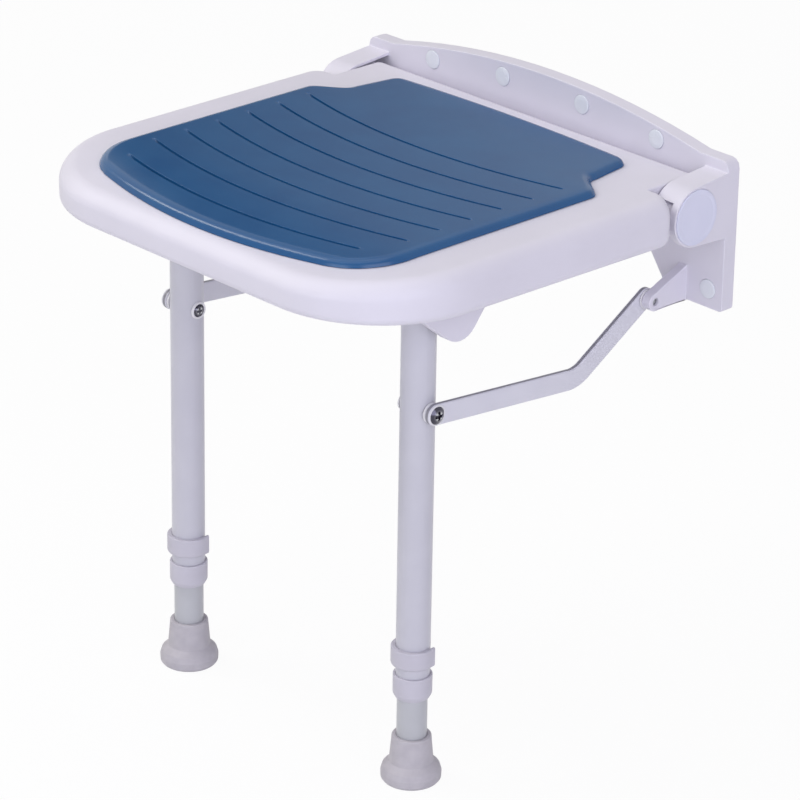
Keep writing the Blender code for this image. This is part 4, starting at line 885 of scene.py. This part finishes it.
def clip_rows():
    """Rings along a clip: one section, broadly rounded at its outer lower edge, carried round a U
    about the tube. Each ring stands square to the U, and both arms taper towards their ends."""
    section = rounded((
        (0.0, 0.0, 0.5 * mm),
        (clip_thick, 0.0, 3.0 * mm),
        (clip_thick, clip_high, 0.9 * mm),
        (0.0, clip_high, 0.5 * mm),
    ), closed=True)
    angle = np.linspace(np.pi, math.tau, 49)
    bend = np.column_stack((np.cos(angle), np.sin(angle)))
    along = np.linspace(clip_arm, 0.0, 7)[:-1]
    sideways = np.tile((1.0, 0.0), (len(along), 1))
    outward = np.concatenate((-sideways, bend, sideways))
    back_by = np.concatenate((along, np.zeros(len(angle)), along[::-1]))
    taper = 1 - clip_taper * back_by / clip_arm
    offset = tube_fit + section[:, 0] * taper[:, None]
    x = outward[:, :1] * offset
    y = outward[:, 1:] * offset + back_by[:, None]
    return np.stack((x, y, np.broadcast_to(section[:, 1], x.shape)), -1)


# The clip and the collar are the same ABS, drawn greyer: painted shade for the lower legs.
lower_abs_shaded = finish(
    "white_abs_painted_shade", shade="#C1BEC9", light="#C5C2CD", cloud=25 * mm, grain=0.7 * mm,
    depth=0.012 * mm, gloss=(0.44, 0.52), constants={"IOR": 1.53})
# The inner leg is drawn tube with a thin coat, duller than the outer leg; its darker colour is painted
# shade for the lower legs.
inner_coat_shaded = finish(
    "inner_tube_painted_shade", shade="#B5B6BB", light="#BCBDC2", cloud=30 * mm, grain=1.6 * mm,
    depth=0.012 * mm, gloss=(0.3, 0.4), constants={"IOR": 1.5})
clip_rings = clip_rows()
ring_count, ring_points = clip_rings.shape[:2]
first_ring = np.arange(ring_points)
last_ring = first_ring + (ring_count - 1) * ring_points
clip_faces = grid_faces(ring_count, ring_points) + [first_ring.tolist(), last_ring.tolist()]
for label, side in sides:
    x = side * leg_x
    y = leg_pivot[0]
    collar = turned(f"collar_{label}", collar_profile, (x, y, collar_low), (0, 0, 1), segments=72)
    dress(collar, lower_abs_shaded, f"leg_{label}", "white_plastic", f"leg_collar_{label}")
    clip = surface(f"clip_{label}", clip_rings + (x, y, clip_low), clip_faces)
    dress(clip, lower_abs_shaded, f"clip_{label}", "white_plastic", f"lock_clip_{label}")
    inner_tube = soft_copy(f"leg_inner_tube_{label}", tube_break)
    dress(inner_tube, inner_coat_shaded, f"lower_leg_{label}", "white_tube", f"leg_inner_tube_{label}")
    foot = turned(f"foot_{label}", foot_profile, (x, y, floor_level), (0, 0, 1), segments=96)
    dress(foot, pale_rubber, f"lower_leg_{label}", "pale_rubber", f"rubber_foot_{label}")
    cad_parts[f"inner_tube_plug_{label}"].material_slots[0].material = milky_nylon
    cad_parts[f"foot_washer_{label}"].material_slots[0].material = plated_steel


# Floor and light: a white studio with a large soft lamp overhead, a long strip at the left, and a lamp
# each at the front and the right. The background is white to the camera and in reflections, and the
# floor keeps the seat's shadow.
def flat_quad(name, corners):
    """A flat four-cornered mesh object with a paint of its own; gives the object and its paint's nodes."""
    mesh = bpy.data.meshes.new(name)
    mesh.from_pydata(corners, [], [(0, 1, 2, 3)])
    item = bpy.data.objects.new(name, mesh)
    bpy.context.scene.collection.objects.link(item)
    paint = bpy.data.materials.new(name + "_paint")
    paint.use_nodes = True
    mesh.materials.append(paint)
    return item, paint.node_tree


def seen_rays(tree, kinds):
    """A value that is one for a ray of any of the kinds and nought for every other ray."""
    path = add_node(tree, "LightPath")
    seen = path.outputs[kinds[0]]
    for kind in kinds[1:]:
        either = add_node(tree, "Math", {"operation": "MAXIMUM"})
        tree.links.new(seen, either.inputs[0])
        tree.links.new(path.outputs[kind], either.inputs[1])
        seen = either.outputs[0]
    return seen


pure_white = (1.0, 1.0, 1.0, 1.0)
floor_reach = 12.0
floor_white = 0.94
corner_signs = ((-1, -1), (1, -1), (1, 1), (-1, 1))
floor_corners = [(x * floor_reach, y * floor_reach, floor_level) for x, y in corner_signs]
studio_floor, tree = flat_quad("studio_floor", floor_corners)
floor_shader = tree.nodes["Principled BSDF"]
floor_shader.inputs["Base Color"].default_value = linear("#F2F2F4")
floor_shader.inputs["Roughness"].default_value = 0.9
white_share = add_node(tree, "Math", {"operation": "MULTIPLY"})
tree.links.new(seen_rays(tree, ("Is Camera Ray", "Is Glossy Ray")), white_share.inputs[0])
white_share.inputs[1].default_value = floor_white
white = add_node(tree, "Emission", {"Color": pure_white, "Strength": 1.0})
mixed = add_node(tree, "MixShader", links={"Fac": white_share.outputs[0]})
tree.links.new(floor_shader.outputs[0], mixed.inputs[1])
tree.links.new(white.outputs[0], mixed.inputs[2])
tree.links.new(mixed.outputs[0], tree.nodes["Material Output"].inputs["Surface"])

world = bpy.data.worlds.new("studio")
bpy.context.scene.world = world
world.use_nodes = True
tree = world.node_tree
ambient = tree.nodes["Background"]
ambient.inputs["Color"].default_value = linear("#F2F0F4")
ambient.inputs["Strength"].default_value = 0.33
backdrop = add_node(tree, "Background", {"Color": pure_white, "Strength": 1.0})
seen = seen_rays(tree, ("Is Camera Ray", "Is Glossy Ray", "Is Transmission Ray"))
mixed = add_node(tree, "MixShader", links={"Fac": seen})
tree.links.new(ambient.outputs[0], mixed.inputs[1])
tree.links.new(backdrop.outputs[0], mixed.inputs[2])
tree.links.new(mixed.outputs[0], tree.nodes["World Output"].inputs["Surface"])

# A graded grey card stands behind the seat, out of the picture, where the pad's top mirrors it: dark at
# its left end and as white as the room at its right end. Only reflections see it.
card_middle = Vector((-1.7, 1.518, 1.05))
card_half = 0.62
card_rise = 0.8
card_side = Vector((0.726, 0.688, 0.0)) * card_half
card_up = Vector((0.0, 0.0, card_rise))
card_corners = [card_middle + card_side * x + card_up * z for x, z in corner_signs]
card, tree = flat_quad("grey_card", card_corners)
card.visible_camera = False
card.visible_diffuse = False
card.visible_shadow = False
spot = add_node(tree, "TexCoord").outputs["Generated"]
along = add_node(tree, "SeparateXYZ", links={"Vector": spot}).outputs["X"]
grey = add_node(tree, "Emission", {"Color": pure_white}, {"Strength": along})
tree.links.new(grey.outputs[0], tree.nodes["Material Output"].inputs["Surface"])

# Each lamp has a place, a width and height, a power in watts, a roll in degrees and a colour.
lamps = (
    ("overhead", (-0.36, -0.71, 3.35), (3.7, 3.7), 42.0, 0, "#FEFDFF"),
    ("left_strip", (-2.3, -1.54, 2.51), (2.6, 0.7), 42.0, 43, "#FFFDF4"),
    ("front", (0.7, -4.0, 1.2), (2.0, 2.0), 33.0, 0, "#F4F7FF"),
    ("right", (3.72, -1.56, 1.4), (3.1, 3.1), 76.0, 0, "#EFEFFF"),
)
for name, place, (width, height), power, roll, colour in lamps:
    lamp = bpy.data.lights.new(name, "AREA")
    lamp.shape = "RECTANGLE"
    lamp.size = width
    lamp.size_y = height
    lamp.energy = power
    lamp.color = linear(colour)[:3]
    holder = bpy.data.objects.new(name, lamp)
    bpy.context.scene.collection.objects.link(holder)
    holder.location = place
    aim = (look_at - holder.location).to_track_quat("-Z", "Y")
    holder.rotation_euler = (aim @ Quaternion((0, 0, 1), math.radians(roll))).to_euler()

bpy.context.scene.view_settings.view_transform = "Standard"
